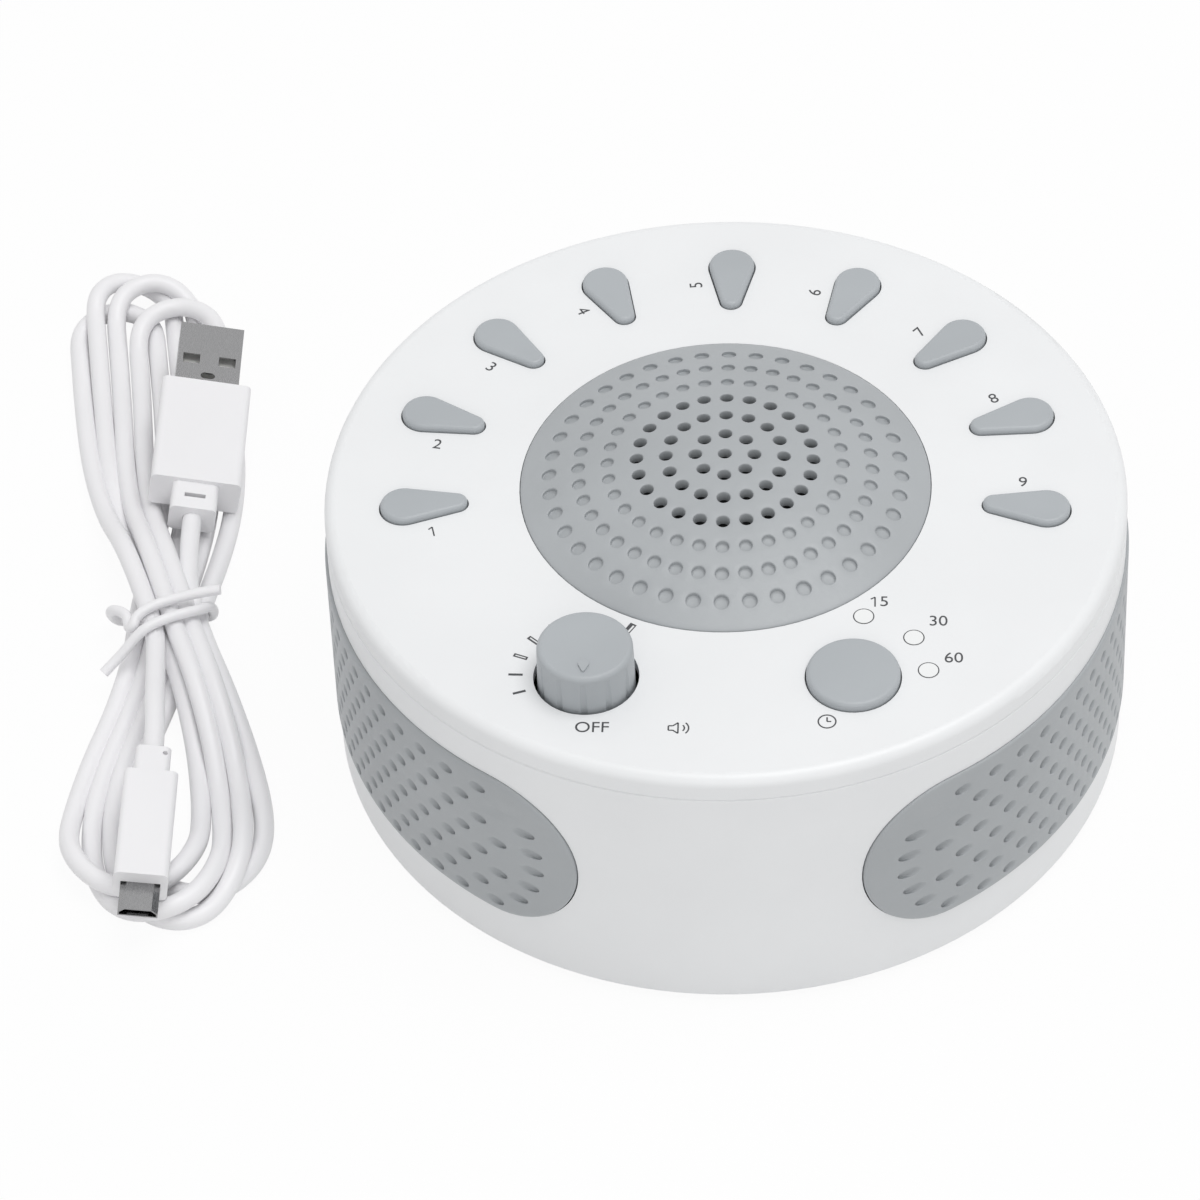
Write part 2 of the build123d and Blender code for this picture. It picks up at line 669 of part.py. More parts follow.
def speaker_surround():
    roll = (speaker_mouth - surround_inner) / 2
    middle = (speaker_mouth + surround_inner) / 2
    ring = Torus(middle, roll) - Torus(middle, roll - surround_wall)
    half = Pos(0, 0, speaker_z) * ring & disc(speaker_radius, speaker_z, speaker_z + 2 * roll)
    lip = disc(speaker_mouth + surround_lip, speaker_z, speaker_z + surround_wall)
    lip -= disc(speaker_mouth - 0.2, speaker_z - 1, speaker_z + 5)
    return half + lip


def speaker_cone():
    edge_z = speaker_z - 0.1
    return turned([
        (surround_inner + surround_wall, edge_z), (surround_inner + surround_wall, edge_z - cone_wall),
        (cap_radius, edge_z - cone_depth - cone_wall), (cap_radius, edge_z - cone_depth),
        (surround_inner, edge_z)])


def dust_cap():
    seat = speaker_z - 0.1 - cone_depth
    radius = (cap_radius ** 2 + cap_rise ** 2) / (2 * cap_rise)
    centre = seat + cap_rise - radius
    cap = Pos(0, 0, centre) * (Sphere(radius) - Sphere(radius - cone_wall))
    return cap & disc(cap_radius, seat, seat + cap_rise + 1)


def speaker_magnet():
    high = frame_low - pole_plate
    low = high - magnet_height
    return disc(magnet_radius, low, high) - disc(cap_radius + 1.0, low - 1, high + 1)


def speaker_yoke():
    low = frame_low - pole_plate - magnet_height
    front = disc(yoke_radius, frame_low - pole_plate, frame_low) - disc(cap_radius + 0.6, low, frame_low + 1)
    back = disc(yoke_radius, low - pole_plate, low)
    pole = disc(cap_radius - 1.0, low - 0.5, frame_low)
    return [front, back + pole]


# ------------------------------------------------------------- power inlet, wires
def power_board():
    board = block(inlet_board, inlet_z - inlet_board[2], (0, inlet_y))
    for x in (-inlet_post_x, inlet_post_x):
        board -= disc(small_screw_radius + pass_gap, inlet_z - 5, inlet_z + 1, (x, inlet_y))
    return board


def usb_socket():
    """Socket shell with its tongue, drawn with the mouth at the origin facing +Y."""
    wide = inlet_width / 2
    section = make_face(Polyline([(-wide, inlet_height), (wide, inlet_height), (wide, 1.0), (wide - 1.0, 0),
                                  (1.0 - wide, 0), (-wide, 1.0)], close=True))
    back = 0.6
    shell = extrude(section, inlet_depth) - extrude(offset(section, -0.3), inlet_depth - back)
    shell += Pos(0, inlet_height * 0.55, 1.0) * Box(4.0, 0.7, inlet_depth - back - 0.9, align=FLAT)
    return Pos(0, cavity_radius - inlet_set_back, inlet_z) * Rot(90, 0, 0) * shell


def wire(points, bend):
    """Round wire along straight runs joined by tangent arcs."""
    path = FilletPolyline(points, radius=bend)
    start = Plane(origin=path @ 0, z_dir=path % 0)
    return sweep(start * Circle(wire_radius), path=path)


def speaker_wires():
    """Two wires from the magnet out to the main board's underside."""
    near, far = -magnet_radius + 0.5, -board_inner - speaker_landing
    wires = []
    for step in (-0.5, 0.5):
        y = step * wire_pitch
        wires.append(wire([
            (near, y, frame_low + tag_height), (-magnet_radius - tag_reach, y, frame_low + tag_height - 1),
            (far, y, frame_low + tag_height - 4), (far, y, board_z - board_wall)], speaker_wire_bend))
    return wires


def power_wires():
    """Two wires from the power board up to the main board's underside."""
    rear, front = inlet_y - power_root, board_inner + power_landing
    wires = []
    for step in (-0.5, 0.5):
        x = step * wire_pitch
        wires.append(wire([
            (x, rear, inlet_z), (x, rear, inlet_z + power_rise), (x, front, inlet_z + 2 * power_rise),
            (x, front, board_z - board_wall)], power_wire_bend))
    return wires


# -------------------------------------------------------------------- power cable
def on_hank(shape):
    """Place a shape drawn with the tie at the origin and the hank along +Y."""
    return Pos(hank_x, hank_y, 0) * Rot(0, 0, hank_turn) * shape


def layer_top(layers):
    return layers * cord_diameter + 0.1


def hank_top():
    return waist_height + 2 * tie_radius


def lobe(across, along, radius):
    """Flat lobe that widens from the tie: flanks one cord high, crossed folds two high."""
    neck = Pos(tie_across, tie_along) * Circle(waist_width / 2)
    outline = make_hull(neck.edges() + (Pos(across, along) * Circle(radius)).edges())
    way = 1 if along > 0 else -1
    folds = block((3 * radius, 2 * fold_length, layer_top(2)), 0, (across, along + way * radius))
    return extrude(outline, layer_top(1)) + (extrude(outline, layer_top(2)) & folds)


def bundle():
    """Tied middle of the hank, which slopes down to the lobes."""
    flat, half = layer_top(1), waist_length / 2
    profile = Polyline([
        (0, -waist_lower, 0), (0, waist_upper, 0), (0, waist_upper, flat), (0, half, hank_top()),
        (0, -half, hank_top()), (0, -waist_lower, flat)], close=True)
    body = Pos(-waist_width / 2, 0, 0) * extrude(make_face(profile), waist_width, dir=(1, 0, 0))
    body = chamfer(body.edges().group_by(Axis.Z)[-1], waist_chamfer)
    return Pos(tie_across, tie_along, 0) * body


def tie_groove():
    """Room for the tie under the bundle and at its two sides."""
    across = 2 * (tie_radius + tie_gap)
    around = Box(waist_width + 8, across, hank_top() + 1, align=FLAT)
    core = Box(waist_width, across + 1, hank_top() + 1, align=FLAT)
    return Pos(tie_across, tie_along, 0) * (around - Pos(0, 0, across) * core)


def cable_hank():
    return on_hank(lobe(*lower_lobe) + lobe(*upper_lobe) + bundle() - tie_groove())


def cable_tie():
    """Wire tie: a closed loop round the bundle, and its two ends from a knot on top."""
    wide = waist_width + 2 * (tie_radius + tie_gap)
    low, high = tie_radius, hank_top() + tie_radius + tie_gap
    upright = Plane(origin=(0, 0, (low + high) / 2), x_dir=(1, 0, 0), z_dir=(0, -1, 0))
    section = upright * RectangleRounded(wide, high - low, tie_bend)
    path = section.face().outer_wire()
    start = Plane(origin=path @ 0, z_dir=path % 0)
    tie = sweep(start * Circle(tie_radius), path=path)
    for turn, length in tie_tails:
        tail = Rot(0, 90, 0) * Cylinder(tie_radius, length, align=FLAT)
        tie += Pos(-tie_knot, 0, high) * Rot(0, 0, turn) * tail
    return on_hank(Pos(tie_across, tie_along, 0) * tie)


def plug_frame(foot, height, tilt):
    """Plug whose strain relief's foot is at a place, with its mouth ahead along +Y."""
    turn, pitch, roll = tilt
    return Pos(foot[0], foot[1], height) * Rot(0, 0, turn) * Rot(pitch, 0, 0) * Rot(0, roll, 0)


def usb_frame():
    return plug_frame(usb_foot, layer_top(1) + usb_lift, usb_tilt)


def micro_frame():
    return plug_frame(micro_foot, layer_top(2) + micro_lift, micro_tilt)


def overmould(mould, relief, pocket):
    """Plug body with its stepped strain relief, along +Y, on its own axis."""
    body = Pos(0, relief[1], 0) * Box(*mould, align=ON_END)
    body = fillet(body.edges().filter_by(Axis.Y), mould_round)
    tail = Box(relief[0], relief[1] + 0.5, relief[2], align=ON_END)
    tail = fillet(tail.edges().filter_by(Axis.Y), mould_round)
    bore = Rot(-90, 0, 0) * disc(cord_diameter / 2 + mould_fit, -1, cord_sunk)
    seat = Box(pocket[0], shell_sunk + 1, pocket[2], align=ON_END)
    return body + tail - bore - Pos(0, relief[1] + mould[1] - shell_sunk, 0) * seat


def usb_a_overmould():
    slot = Pos(0, usb_relief[1] / 2, 0) * Box(relief_slot[0], relief_slot[1], usb_relief[2] + 2)
    return usb_frame() * (overmould(usb_mould, usb_relief, usb_shell) - slot)


def micro_usb_overmould():
    wide, reach, tall = micro_relief
    hole = disc(relief_hole, tall / 2 - 1, tall, (-wide / 3, reach / 4))
    return micro_frame() * (overmould(micro_mould, micro_relief, micro_shell) - hole)


def usb_a_shell():
    wide, reach, tall = usb_shell
    mouth = usb_relief[1] + usb_mould[1]
    inside = (wide - 2 * usb_sheet, reach + shell_sunk + 2, tall - 2 * usb_sheet)
    tube = Box(wide, reach + shell_sunk, tall, align=ON_END) - Pos(0, -1, 0) * Box(*inside, align=ON_END)
    tube = Pos(0, mouth - shell_sunk, 0) * tube
    for x in (-usb_window_spread, usb_window_spread):
        tube -= Pos(x, mouth + usb_window_reach, 0) * Box(usb_window[0], usb_window[1], tall + 1)
    slot = extrude(SlotOverall(*usb_slot), 1)
    return usb_frame() * (tube - Pos(0, mouth + usb_slot_reach, tall / 2 - 0.5) * slot)


def usb_a_insulator():
    wide, reach, tall = usb_shell
    start = usb_relief[1] + usb_mould[1] - shell_sunk + 0.1
    inner_wide, inner_tall = wide - 2 * usb_sheet - 0.1, tall - 2 * usb_sheet - 0.1
    tongue = Box(inner_wide, reach + shell_sunk - 0.6, usb_tongue, align=ON_END)
    root = Box(inner_wide, shell_sunk - 1, inner_tall, align=ON_END)
    low = (usb_tongue - inner_tall) / 2
    return usb_frame() * Pos(0, start, 0) * (Pos(0, 0, low) * tongue + root)


def micro_usb_shell():
    """Shell with its narrow side up and two bevels, and the tongue inside."""
    wide, reach, tall = micro_shell
    half_w, half_t = wide / 2, tall / 2
    section = make_face(Polyline([
        (-half_w, half_t), (half_w, half_t), (half_w, 0.0), (half_w - micro_bevel, -half_t),
        (micro_bevel - half_w, -half_t), (-half_w, 0.0)], close=True))
    length = reach + shell_sunk
    shell = extrude(section, length) - Pos(0, 0, 0.8) * extrude(offset(section, -micro_sheet), length)
    shell += Box(*micro_tongue, length - 0.8, align=FLAT)
    start = micro_relief[1] + micro_mould[1] - shell_sunk
    return micro_frame() * Pos(0, start, 0) * Rot(-90, 0, 0) * shell


def lead(name, plug, straight, end):
    """Cord from inside a plug, straight out of its strain relief and bent into the bundle."""
    end_place = on_hank(Pos(tie_across + end[0], tie_along + end[1], end[2])).position
    points = [(plug * Pos(0, cord_sunk, 0)).position, (plug * Pos(0, -straight, 0)).position, end_place]
    first, last = points[1] - points[0], points[2] - points[1]
    turn = radians(first.get_angle(last))
    bend = 0.45 * min(first.length, last.length) / tan(turn / 2)
    print(name, "runs", round(first.length, 1), round(last.length, 1), "radius", round(bend, 1))
    path = FilletPolyline(points, radius=bend)
    return sweep(Plane(origin=path @ 0, z_dir=path % 0) * Circle(cord_diameter / 2), path=path)


# ------------------------------------------------------------------------ writing
def write(name, solids):
    shapes = solids if isinstance(solids, list) else [solids]
    shape = shapes[0] if len(shapes) == 1 else Compound(children=shapes)
    export_step(shape, "parts/" + name + ".step")


def main():
    os.makedirs("parts", exist_ok=True)
    write("top_cover", top_cover())
    write("centre_grille", centre_grille())
    write("lower_housing", lower_housing())
    write("right_side_grille", side_grille(1))
    write("left_side_grille", side_grille(-1))
    write("bottom_cover", bottom_cover())
    write("rubber_feet", [rubber_foot(place) for place in foot_places()])
    case_screw_length = case_screw_bite + head_seat_wall
    write("case_screws", [screw(place, case_seat_z, case_screw_length, case_screw_radius, head_radius,
                                head_height) for place in case_places()])
    for number in range(key_count):
        write("sound_button_" + str(number + 1), sound_key(number))
        write("sound_plunger_" + str(number + 1), plunger(polar(key_middle, key_angle(number))))
    write("timer_button", timer_key())
    write("timer_plunger", plunger((control_x, control_y)))
    write("switch_bodies", switch_bodies())
    write("volume_knob", volume_knob())
    write("pot_shaft", pot_shaft())
    write("potentiometer", potentiometer())
    for minutes, place in zip((15, 30, 60), lens_places()):
        write("timer_lens_" + str(minutes), timer_lens(place))
    write("timer_lamps", [timer_lamp(place) for place in lens_places()])
    write("main_board", main_board())
    write("audio_chip", audio_chip())
    board_seat = board_z - board_wall
    board_screws = [screw(p, board_seat, small_bite + board_wall, small_screw_radius, small_head_radius,
                          small_head_height) for p in board_places()]
    for x in (-inlet_post_x, inlet_post_x):
        down = screw((x, inlet_y), 0, inlet_bite + inlet_board[2], small_screw_radius, small_head_radius,
                     small_head_height)
        board_screws.append(Pos(0, 0, inlet_z) * mirror(down, about=Plane.XY))
    write("board_screws", board_screws)
    write("speaker_frame", speaker_frame())
    write("speaker_surround", speaker_surround())
    write("speaker_cone", speaker_cone())
    write("dust_cap", dust_cap())
    write("speaker_magnet", speaker_magnet())
    write("speaker_yoke", speaker_yoke())
    speaker_seat = speaker_z - speaker_flange
    write("speaker_screws", [screw(p, speaker_seat, small_bite + speaker_flange, small_screw_radius,
                                   small_head_radius, small_head_height) for p in speaker_places()])
    write("power_board", power_board())
    write("usb_socket", usb_socket())
    write("speaker_wires", speaker_wires())
    write("power_wires", power_wires())
    write("usb_a_shell", usb_a_shell())
    write("usb_a_insulator", usb_a_insulator())
    write("usb_a_overmould", usb_a_overmould())
    write("micro_usb_shell", micro_usb_shell())
    write("micro_usb_overmould", micro_usb_overmould())
    write("cable_hank", cable_hank())
    write("cable_lead_usb", lead("usb lead", usb_frame(), usb_straight, usb_lead_end))
    write("cable_lead_micro", lead("micro lead", micro_frame(), micro_straight, micro_lead_end))
    write("cable_tie", cable_tie())


if __name__ == "__main__":
    main()
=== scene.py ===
import math
import bmesh
import bpy
from mathutils import Matrix, Vector
from mathutils.geometry import delaunay_2d_cdt


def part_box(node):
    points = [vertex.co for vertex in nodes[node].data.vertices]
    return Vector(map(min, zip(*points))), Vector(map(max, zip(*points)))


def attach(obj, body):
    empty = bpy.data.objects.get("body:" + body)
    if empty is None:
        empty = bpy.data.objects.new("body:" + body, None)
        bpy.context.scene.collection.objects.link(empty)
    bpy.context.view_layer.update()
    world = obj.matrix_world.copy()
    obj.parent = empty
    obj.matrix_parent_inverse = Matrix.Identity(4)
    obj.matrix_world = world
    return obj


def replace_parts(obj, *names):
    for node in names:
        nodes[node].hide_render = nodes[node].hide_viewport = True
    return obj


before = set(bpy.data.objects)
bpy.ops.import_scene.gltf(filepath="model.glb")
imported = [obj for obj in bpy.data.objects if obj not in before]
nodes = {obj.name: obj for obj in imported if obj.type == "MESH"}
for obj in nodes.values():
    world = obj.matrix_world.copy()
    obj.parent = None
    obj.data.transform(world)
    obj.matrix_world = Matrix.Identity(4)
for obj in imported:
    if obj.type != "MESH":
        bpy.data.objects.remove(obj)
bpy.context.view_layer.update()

# White noise sound machine with its tied USB cable. Metres, +Z up, the front faces -Y.
MM = 0.001

# ------------------------------------------------------------------ what the frame gives
top_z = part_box("top_cover")[1].z
base_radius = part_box("lower_housing")[1].x
bottom_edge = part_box("lower_housing")[0].z
crown_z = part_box("centre_grille")[1].z
grille_low_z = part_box("centre_grille")[0].z
knob_x, knob_y = [(low + high) / 2 for low, high in zip(*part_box("volume_knob"))][:2]


# ------------------------------------------------------------------------------ camera
def make_camera():
    """A long lens from the front and above, its axis right of the square frame's middle."""
    image_size = 1200.0
    focal_pixels = 4923.6
    axis_pixel = 725.0
    distance = 0.8497
    elevation = math.radians(45.80)
    azimuth = math.radians(2.20)
    roll = math.radians(1.38)
    slide_right, slide_up = -0.000082, -0.020074
    back = Vector((math.sin(azimuth) * math.cos(elevation), -math.cos(azimuth) * math.cos(elevation),
                   math.sin(elevation)))
    level_right = Vector((0, 0, 1)).cross(back).normalized()
    level_up = back.cross(level_right)
    right = level_right * math.cos(roll) - level_up * math.sin(roll)
    up = level_right * math.sin(roll) + level_up * math.cos(roll)
    place = back * distance + right * slide_right + up * slide_up + Vector((0, 0, top_z))
    camera = bpy.data.objects.new("camera", bpy.data.cameras.new("camera"))
    camera.data.sensor_width = 36.0
    camera.data.lens = focal_pixels * camera.data.sensor_width / image_size
    camera.data.shift_x = (image_size / 2 - axis_pixel) / image_size
    camera.matrix_world = Matrix.Translation(place) @ Matrix((right, up, back)).transposed().to_4x4()
    bpy.context.scene.collection.objects.link(camera)
    bpy.context.scene.camera = camera


# --------------------------------------------------------------------------- materials
def shader_nodes(name):
    """A new material, its node tree and its shader."""
    material = bpy.data.materials.new(name)
    material.use_nodes = True
    tree = material.node_tree
    return material, tree, tree.nodes["Principled BSDF"]


def noise(tree, scale, detail=3.0, roughness=0.5, stretch=(1.0, 1.0, 1.0)):
    """Noise over the object's own coordinates; scale is in features per metre."""
    place = tree.nodes.new("ShaderNodeTexCoord")
    mapping = tree.nodes.new("ShaderNodeMapping")
    mapping.inputs["Scale"].default_value = stretch
    texture = tree.nodes.new("ShaderNodeTexNoise")
    texture.inputs["Scale"].default_value = scale
    texture.inputs["Detail"].default_value = detail
    texture.inputs["Roughness"].default_value = roughness
    tree.links.new(place.outputs["Object"], mapping.inputs["Vector"])
    tree.links.new(mapping.outputs["Vector"], texture.inputs["Vector"])
    return texture.outputs["Fac"]


def spread(tree, source, low, high, source_low=0.35, source_high=0.65):
    """The source's range stretched to low..high."""
    node = tree.nodes.new("ShaderNodeMapRange")
    node.inputs["From Min"].default_value = source_low
    node.inputs["From Max"].default_value = source_high
    node.inputs["To Min"].default_value = low
    node.inputs["To Max"].default_value = high
    tree.links.new(source, node.inputs["Value"])
    return node.outputs["Result"]


def tint(tree, source, dark, light, low=0.35, high=0.65):
    """Colour between two tints by the source."""
    ramp = tree.nodes.new("ShaderNodeValToRGB")
    ramp.color_ramp.elements[0].position = low
    ramp.color_ramp.elements[0].color = (*dark, 1)
    ramp.color_ramp.elements[1].position = high
    ramp.color_ramp.elements[1].color = (*light, 1)
    tree.links.new(source, ramp.inputs["Fac"])
    return ramp.outputs["Color"]


def bump(tree, source, height, strength=1.0, after=None):
    """Bump of a height in metres, on top of another bump if one is given."""
    node = tree.nodes.new("ShaderNodeBump")
    node.inputs["Distance"].default_value = height
    node.inputs["Strength"].default_value = strength
    tree.links.new(source, node.inputs["Height"])
    if after is not None:
        tree.links.new(after, node.inputs["Normal"])
    return node.outputs["Normal"]


def plastic(name, colour, rough, contrast=0.02, grain=2600.0, grain_height=6e-6, cloud=45.0):
    """Moulded plastic: a faint cloudiness of colour and gloss, and a fine tool texture."""
    material, tree, shader = shader_nodes(name)
    clouds = noise(tree, cloud, 4.0)
    dark = [channel * (1 - contrast) for channel in colour]
    light = [min(1.0, channel * (1 + contrast)) for channel in colour]
    tree.links.new(tint(tree, clouds, dark, light), shader.inputs["Base Color"])
    speckle = noise(tree, grain, 2.0)
    tree.links.new(spread(tree, speckle, rough - 0.05, rough + 0.05), shader.inputs["Roughness"])
    flow = bump(tree, clouds, 1.5e-5)
    tree.links.new(bump(tree, speckle, grain_height, 1.0, flow), shader.inputs["Normal"])
    return material


def metal(name, colour, rough, brush=(1.0, 1.0, 1.0), scratch=4e-6):
    """Plated or brushed metal; brush stretches its marks."""
    material, tree, shader = shader_nodes(name)
    shader.inputs["Metallic"].default_value = 1.0
    marks = noise(tree, 1500.0, 5.0, 0.7, brush)
    dark = [channel * 0.86 for channel in colour]
    tree.links.new(tint(tree, marks, dark, colour), shader.inputs["Base Color"])
    tree.links.new(spread(tree, marks, rough - 0.08, rough + 0.08), shader.inputs["Roughness"])
    tree.links.new(bump(tree, marks, scratch), shader.inputs["Normal"])
    return material


MATERIALS = {
    "white_shell": plastic("white_shell", (0.84, 0.85, 0.86), 0.36, 0.012),
    "grey_grille": plastic("grey_grille", (0.40, 0.42, 0.435), 0.44, 0.03),
    "grey_control": plastic("grey_control", (0.41, 0.435, 0.455), 0.42, 0.03),
    "rubber": plastic("rubber", (0.035, 0.036, 0.038), 0.75, 0.15, 1800.0, 2e-5),
    "switch_black": plastic("switch_black", (0.02, 0.02, 0.022), 0.45, 0.2),
    "shaft_plastic": plastic("shaft_plastic", (0.62, 0.62, 0.60), 0.40, 0.05),
    "lens": plastic("lens", (0.86, 0.87, 0.87), 0.22, 0.02),
    "lamp": plastic("lamp", (0.80, 0.76, 0.45), 0.30, 0.05),
    "board": plastic("board", (0.015, 0.09, 0.035), 0.38, 0.25, 900.0, 1e-5),
    "cone_paper": plastic("cone_paper", (0.03, 0.03, 0.032), 0.85, 0.3, 3200.0, 4e-5),
    "magnet": plastic("magnet", (0.05, 0.05, 0.052), 0.60, 0.25, 700.0, 2e-5),
    "usb_insulator": plastic("usb_insulator", (0.82, 0.82, 0.80), 0.45, 0.03),
    "wire_red": plastic("wire_red", (0.45, 0.02, 0.02), 0.42, 0.1),
    "wire_black": plastic("wire_black", (0.02, 0.02, 0.02), 0.42, 0.1),
    "cable_white": plastic("cable_white", (0.87, 0.865, 0.88), 0.40, 0.012, 2200.0, 4e-6),
    "print_grey": plastic("print_grey", (0.055, 0.057, 0.062), 0.55, 0.08),
    "screw_steel": metal("screw_steel", (0.52, 0.52, 0.53), 0.32),
    "pot_steel": metal("pot_steel", (0.55, 0.55, 0.54), 0.36),
    "speaker_steel": metal("speaker_steel", (0.48, 0.48, 0.47), 0.40),
    "usb_steel": metal("usb_steel", (0.32, 0.32, 0.325), 0.26, (9.0, 1.0, 1.0)),
}

NODE_SLOTS = {
    "white_shell": ["top_cover", "lower_housing", "bottom_cover"],
    "grey_grille": ["centre_grille", "left_side_grille", "right_side_grille"],
    "grey_control": ["timer_button", "volume_knob"] + ["sound_button_%d" % n for n in range(1, 10)],
    "rubber": ["rubber_feet"],
    "screw_steel": ["case_screws", "board_screws", "speaker_screws"],
    "switch_black": ["switch_bodies", "audio_chip"],
    "shaft_plastic": ["pot_shaft", "timer_plunger"] + ["sound_plunger_%d" % n for n in range(1, 10)],
    "pot_steel": ["potentiometer"],
    "lens": ["timer_lens_15", "timer_lens_30", "timer_lens_60"],
    "lamp": ["timer_lamps"],
    "board": ["main_board", "power_board"],
    "speaker_steel": ["speaker_frame", "speaker_yoke"],
    "cone_paper": ["speaker_surround", "speaker_cone", "dust_cap"],
    "magnet": ["speaker_magnet"],
    "usb_steel": ["usb_socket", "usb_a_shell", "micro_usb_shell"],
    "usb_insulator": ["usb_a_insulator"],
    "wire_red": ["speaker_wires"],
    "wire_black": ["power_wires"],
    "cable_white": ["usb_a_overmould", "micro_usb_overmould", "cable_hank", "cable_lead_usb",
                    "cable_lead_micro", "cable_tie"],
}


def dress_nodes():
    for slot, names in NODE_SLOTS.items():
        for name in names:
            nodes[name].data.materials.clear()
            nodes[name].data.materials.append(MATERIALS[slot])


# ----------------------------------------------------------------------------- meshes
def add_piece(name, points, faces, slot, body="housing", sharp=35.0):
    """A new mesh piece from points in metres, smooth but for its sharp edges."""
    mesh = bpy.data.meshes.new(name)
    mesh.from_pydata([tuple(point) for point in points], [], faces)
    tidy = bmesh.new()
    tidy.from_mesh(mesh)
    bmesh.ops.remove_doubles(tidy, verts=tidy.verts, dist=1e-7)
    bmesh.ops.recalc_face_normals(tidy, faces=tidy.faces)
    tidy.to_mesh(mesh)
    tidy.free()
    mesh.shade_smooth()
    mesh.set_sharp_from_angle(angle=math.radians(sharp))
    mesh.materials.append(MATERIALS[slot])
    piece = bpy.data.objects.new(name, mesh)
    bpy.context.scene.collection.objects.link(piece)
    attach(piece, body)
    return piece


class Shell:
    """Points and faces of one piece, gathered ring by ring."""

    def __init__(self):
        self.points = []
        self.faces = []

    def ring(self, points):
        start = len(self.points)
        self.points += points
        return list(range(start, start + len(points)))

    def band(self, first, second):
        """Quads between two rings of as many points."""
        count = len(first)
        for i in range(count):
            j = (i + 1) % count
            self.faces.append((first[i], first[j], second[j], second[i]))

    def cap(self, ring, centre):
        """A fan that closes a ring."""
        middle = self.ring([centre])[0]
        for i in range(len(ring)):
            self.faces.append((ring[i], ring[(i + 1) % len(ring)], middle))


def pierced_sheet(outline, holes, filler):
    """Triangles of a flat sheet with holes: its points, faces, outline ring and hole rings."""
    loops = [outline] + holes
    flat, edges, spans = [], [], []
    for loop in loops:
        start = len(flat)
        flat += [Vector(point) for point in loop]
        edges += [(start + i, start + (i + 1) % len(loop)) for i in range(len(loop))]
        spans.append((start, len(flat)))
    flat += [Vector(point) for point in filler]
    points, _, faces, origins, _, _ = delaunay_2d_cdt(flat, edges, [], 1, 1e-9)
    place = {old: new for new, olds in enumerate(origins) for old in olds}
    rings = [[place[i] for i in range(*span)] for span in spans]
    closed = [set(ring) for ring in rings[1:]]
    kept = [face for face in faces if not any(ring.issuperset(face) for ring in closed)]
    return points, kept, rings[0], rings[1:]


def circle(centre, radius, count):
    return [(centre[0] + radius * math.cos(2 * math.pi * i / count),
             centre[1] + radius * math.sin(2 * math.pi * i / count)) for i in range(count)]


def clear_of(point, holes, room):
    """True if a point stands clear of every hole, given as (centre, radius)."""
    return all(math.dist(point, centre) > radius + room for centre, radius in holes)


# ---------------------------------------------------------------------- centre grille
DOME_FLANGE = 1.9 * MM        # reach of its flange under the top face
DOME_RIM_Z = top_z + 0.2 * MM
DOME_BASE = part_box("centre_grille")[1].x - DOME_FLANGE
DOME_RISE = crown_z - DOME_RIM_Z
DOME_RADIUS = (DOME_BASE ** 2 + DOME_RISE ** 2) / (2 * DOME_RISE)
DOME_WALL = 2.0 * MM
DOME_EDGE = 0.35 * MM
HOLE_PITCH = 5.07 * MM
HOLE_RINGS = ((1, 2.3), (8, 2.3), (16, 2.3), (24, 2.3), (32, 2.2), (40, 2.3), (40, 2.5))
OPEN_RINGS = 4                # the crown hole and three rings go right through
HOLE_ROUND = 0.22 * MM        # soft edge of each hole
DIMPLE_DEPTH = 0.9 * MM
DOME_SKIRT_Z = top_z - 2.2 * MM
DOME_FILL = 1.3 * MM          # spacing of the points between its holes
DOME_STEPS = 240              # points round its edge
HOLE_STEPS = 24               # points round a hole


def dome_skin(point, depth=0.0):
    """Point of the dome's skin over a flat one, or below the skin by a depth."""
    x, y = point
    z = crown_z - DOME_RADIUS + math.sqrt(DOME_RADIUS ** 2 - x * x - y * y)
    return (x, y, z - depth)


def soft_hole(shell, rim, centre, radius, depth, lift, open_end):
    """Walls of a hole below its rim: a rounded edge, a straight wall and, if blind, a floor."""
    count = len(rim)
    previous = rim
    for out, down in ((0.62, 0.12), (0.22, 0.45), (0.0, 1.0)):
        edge = circle(centre, radius + HOLE_ROUND * out, count)
        ring = shell.ring([lift(point, HOLE_ROUND * down) for point in edge])
        shell.band(previous, ring)
        previous = ring
    if open_end:
        shell.band(previous, shell.ring([lift(p, depth) for p in circle(centre, radius, count)]))
        return
    for inward, share in ((0.0, 0.75), (0.12, 0.93), (0.3, 1.0)):
        ring = shell.ring([lift(p, depth * share) for p in circle(centre, radius * (1 - inward), count)])
        shell.band(previous, ring)
        previous = ring
    shell.cap(previous, lift(centre, depth))


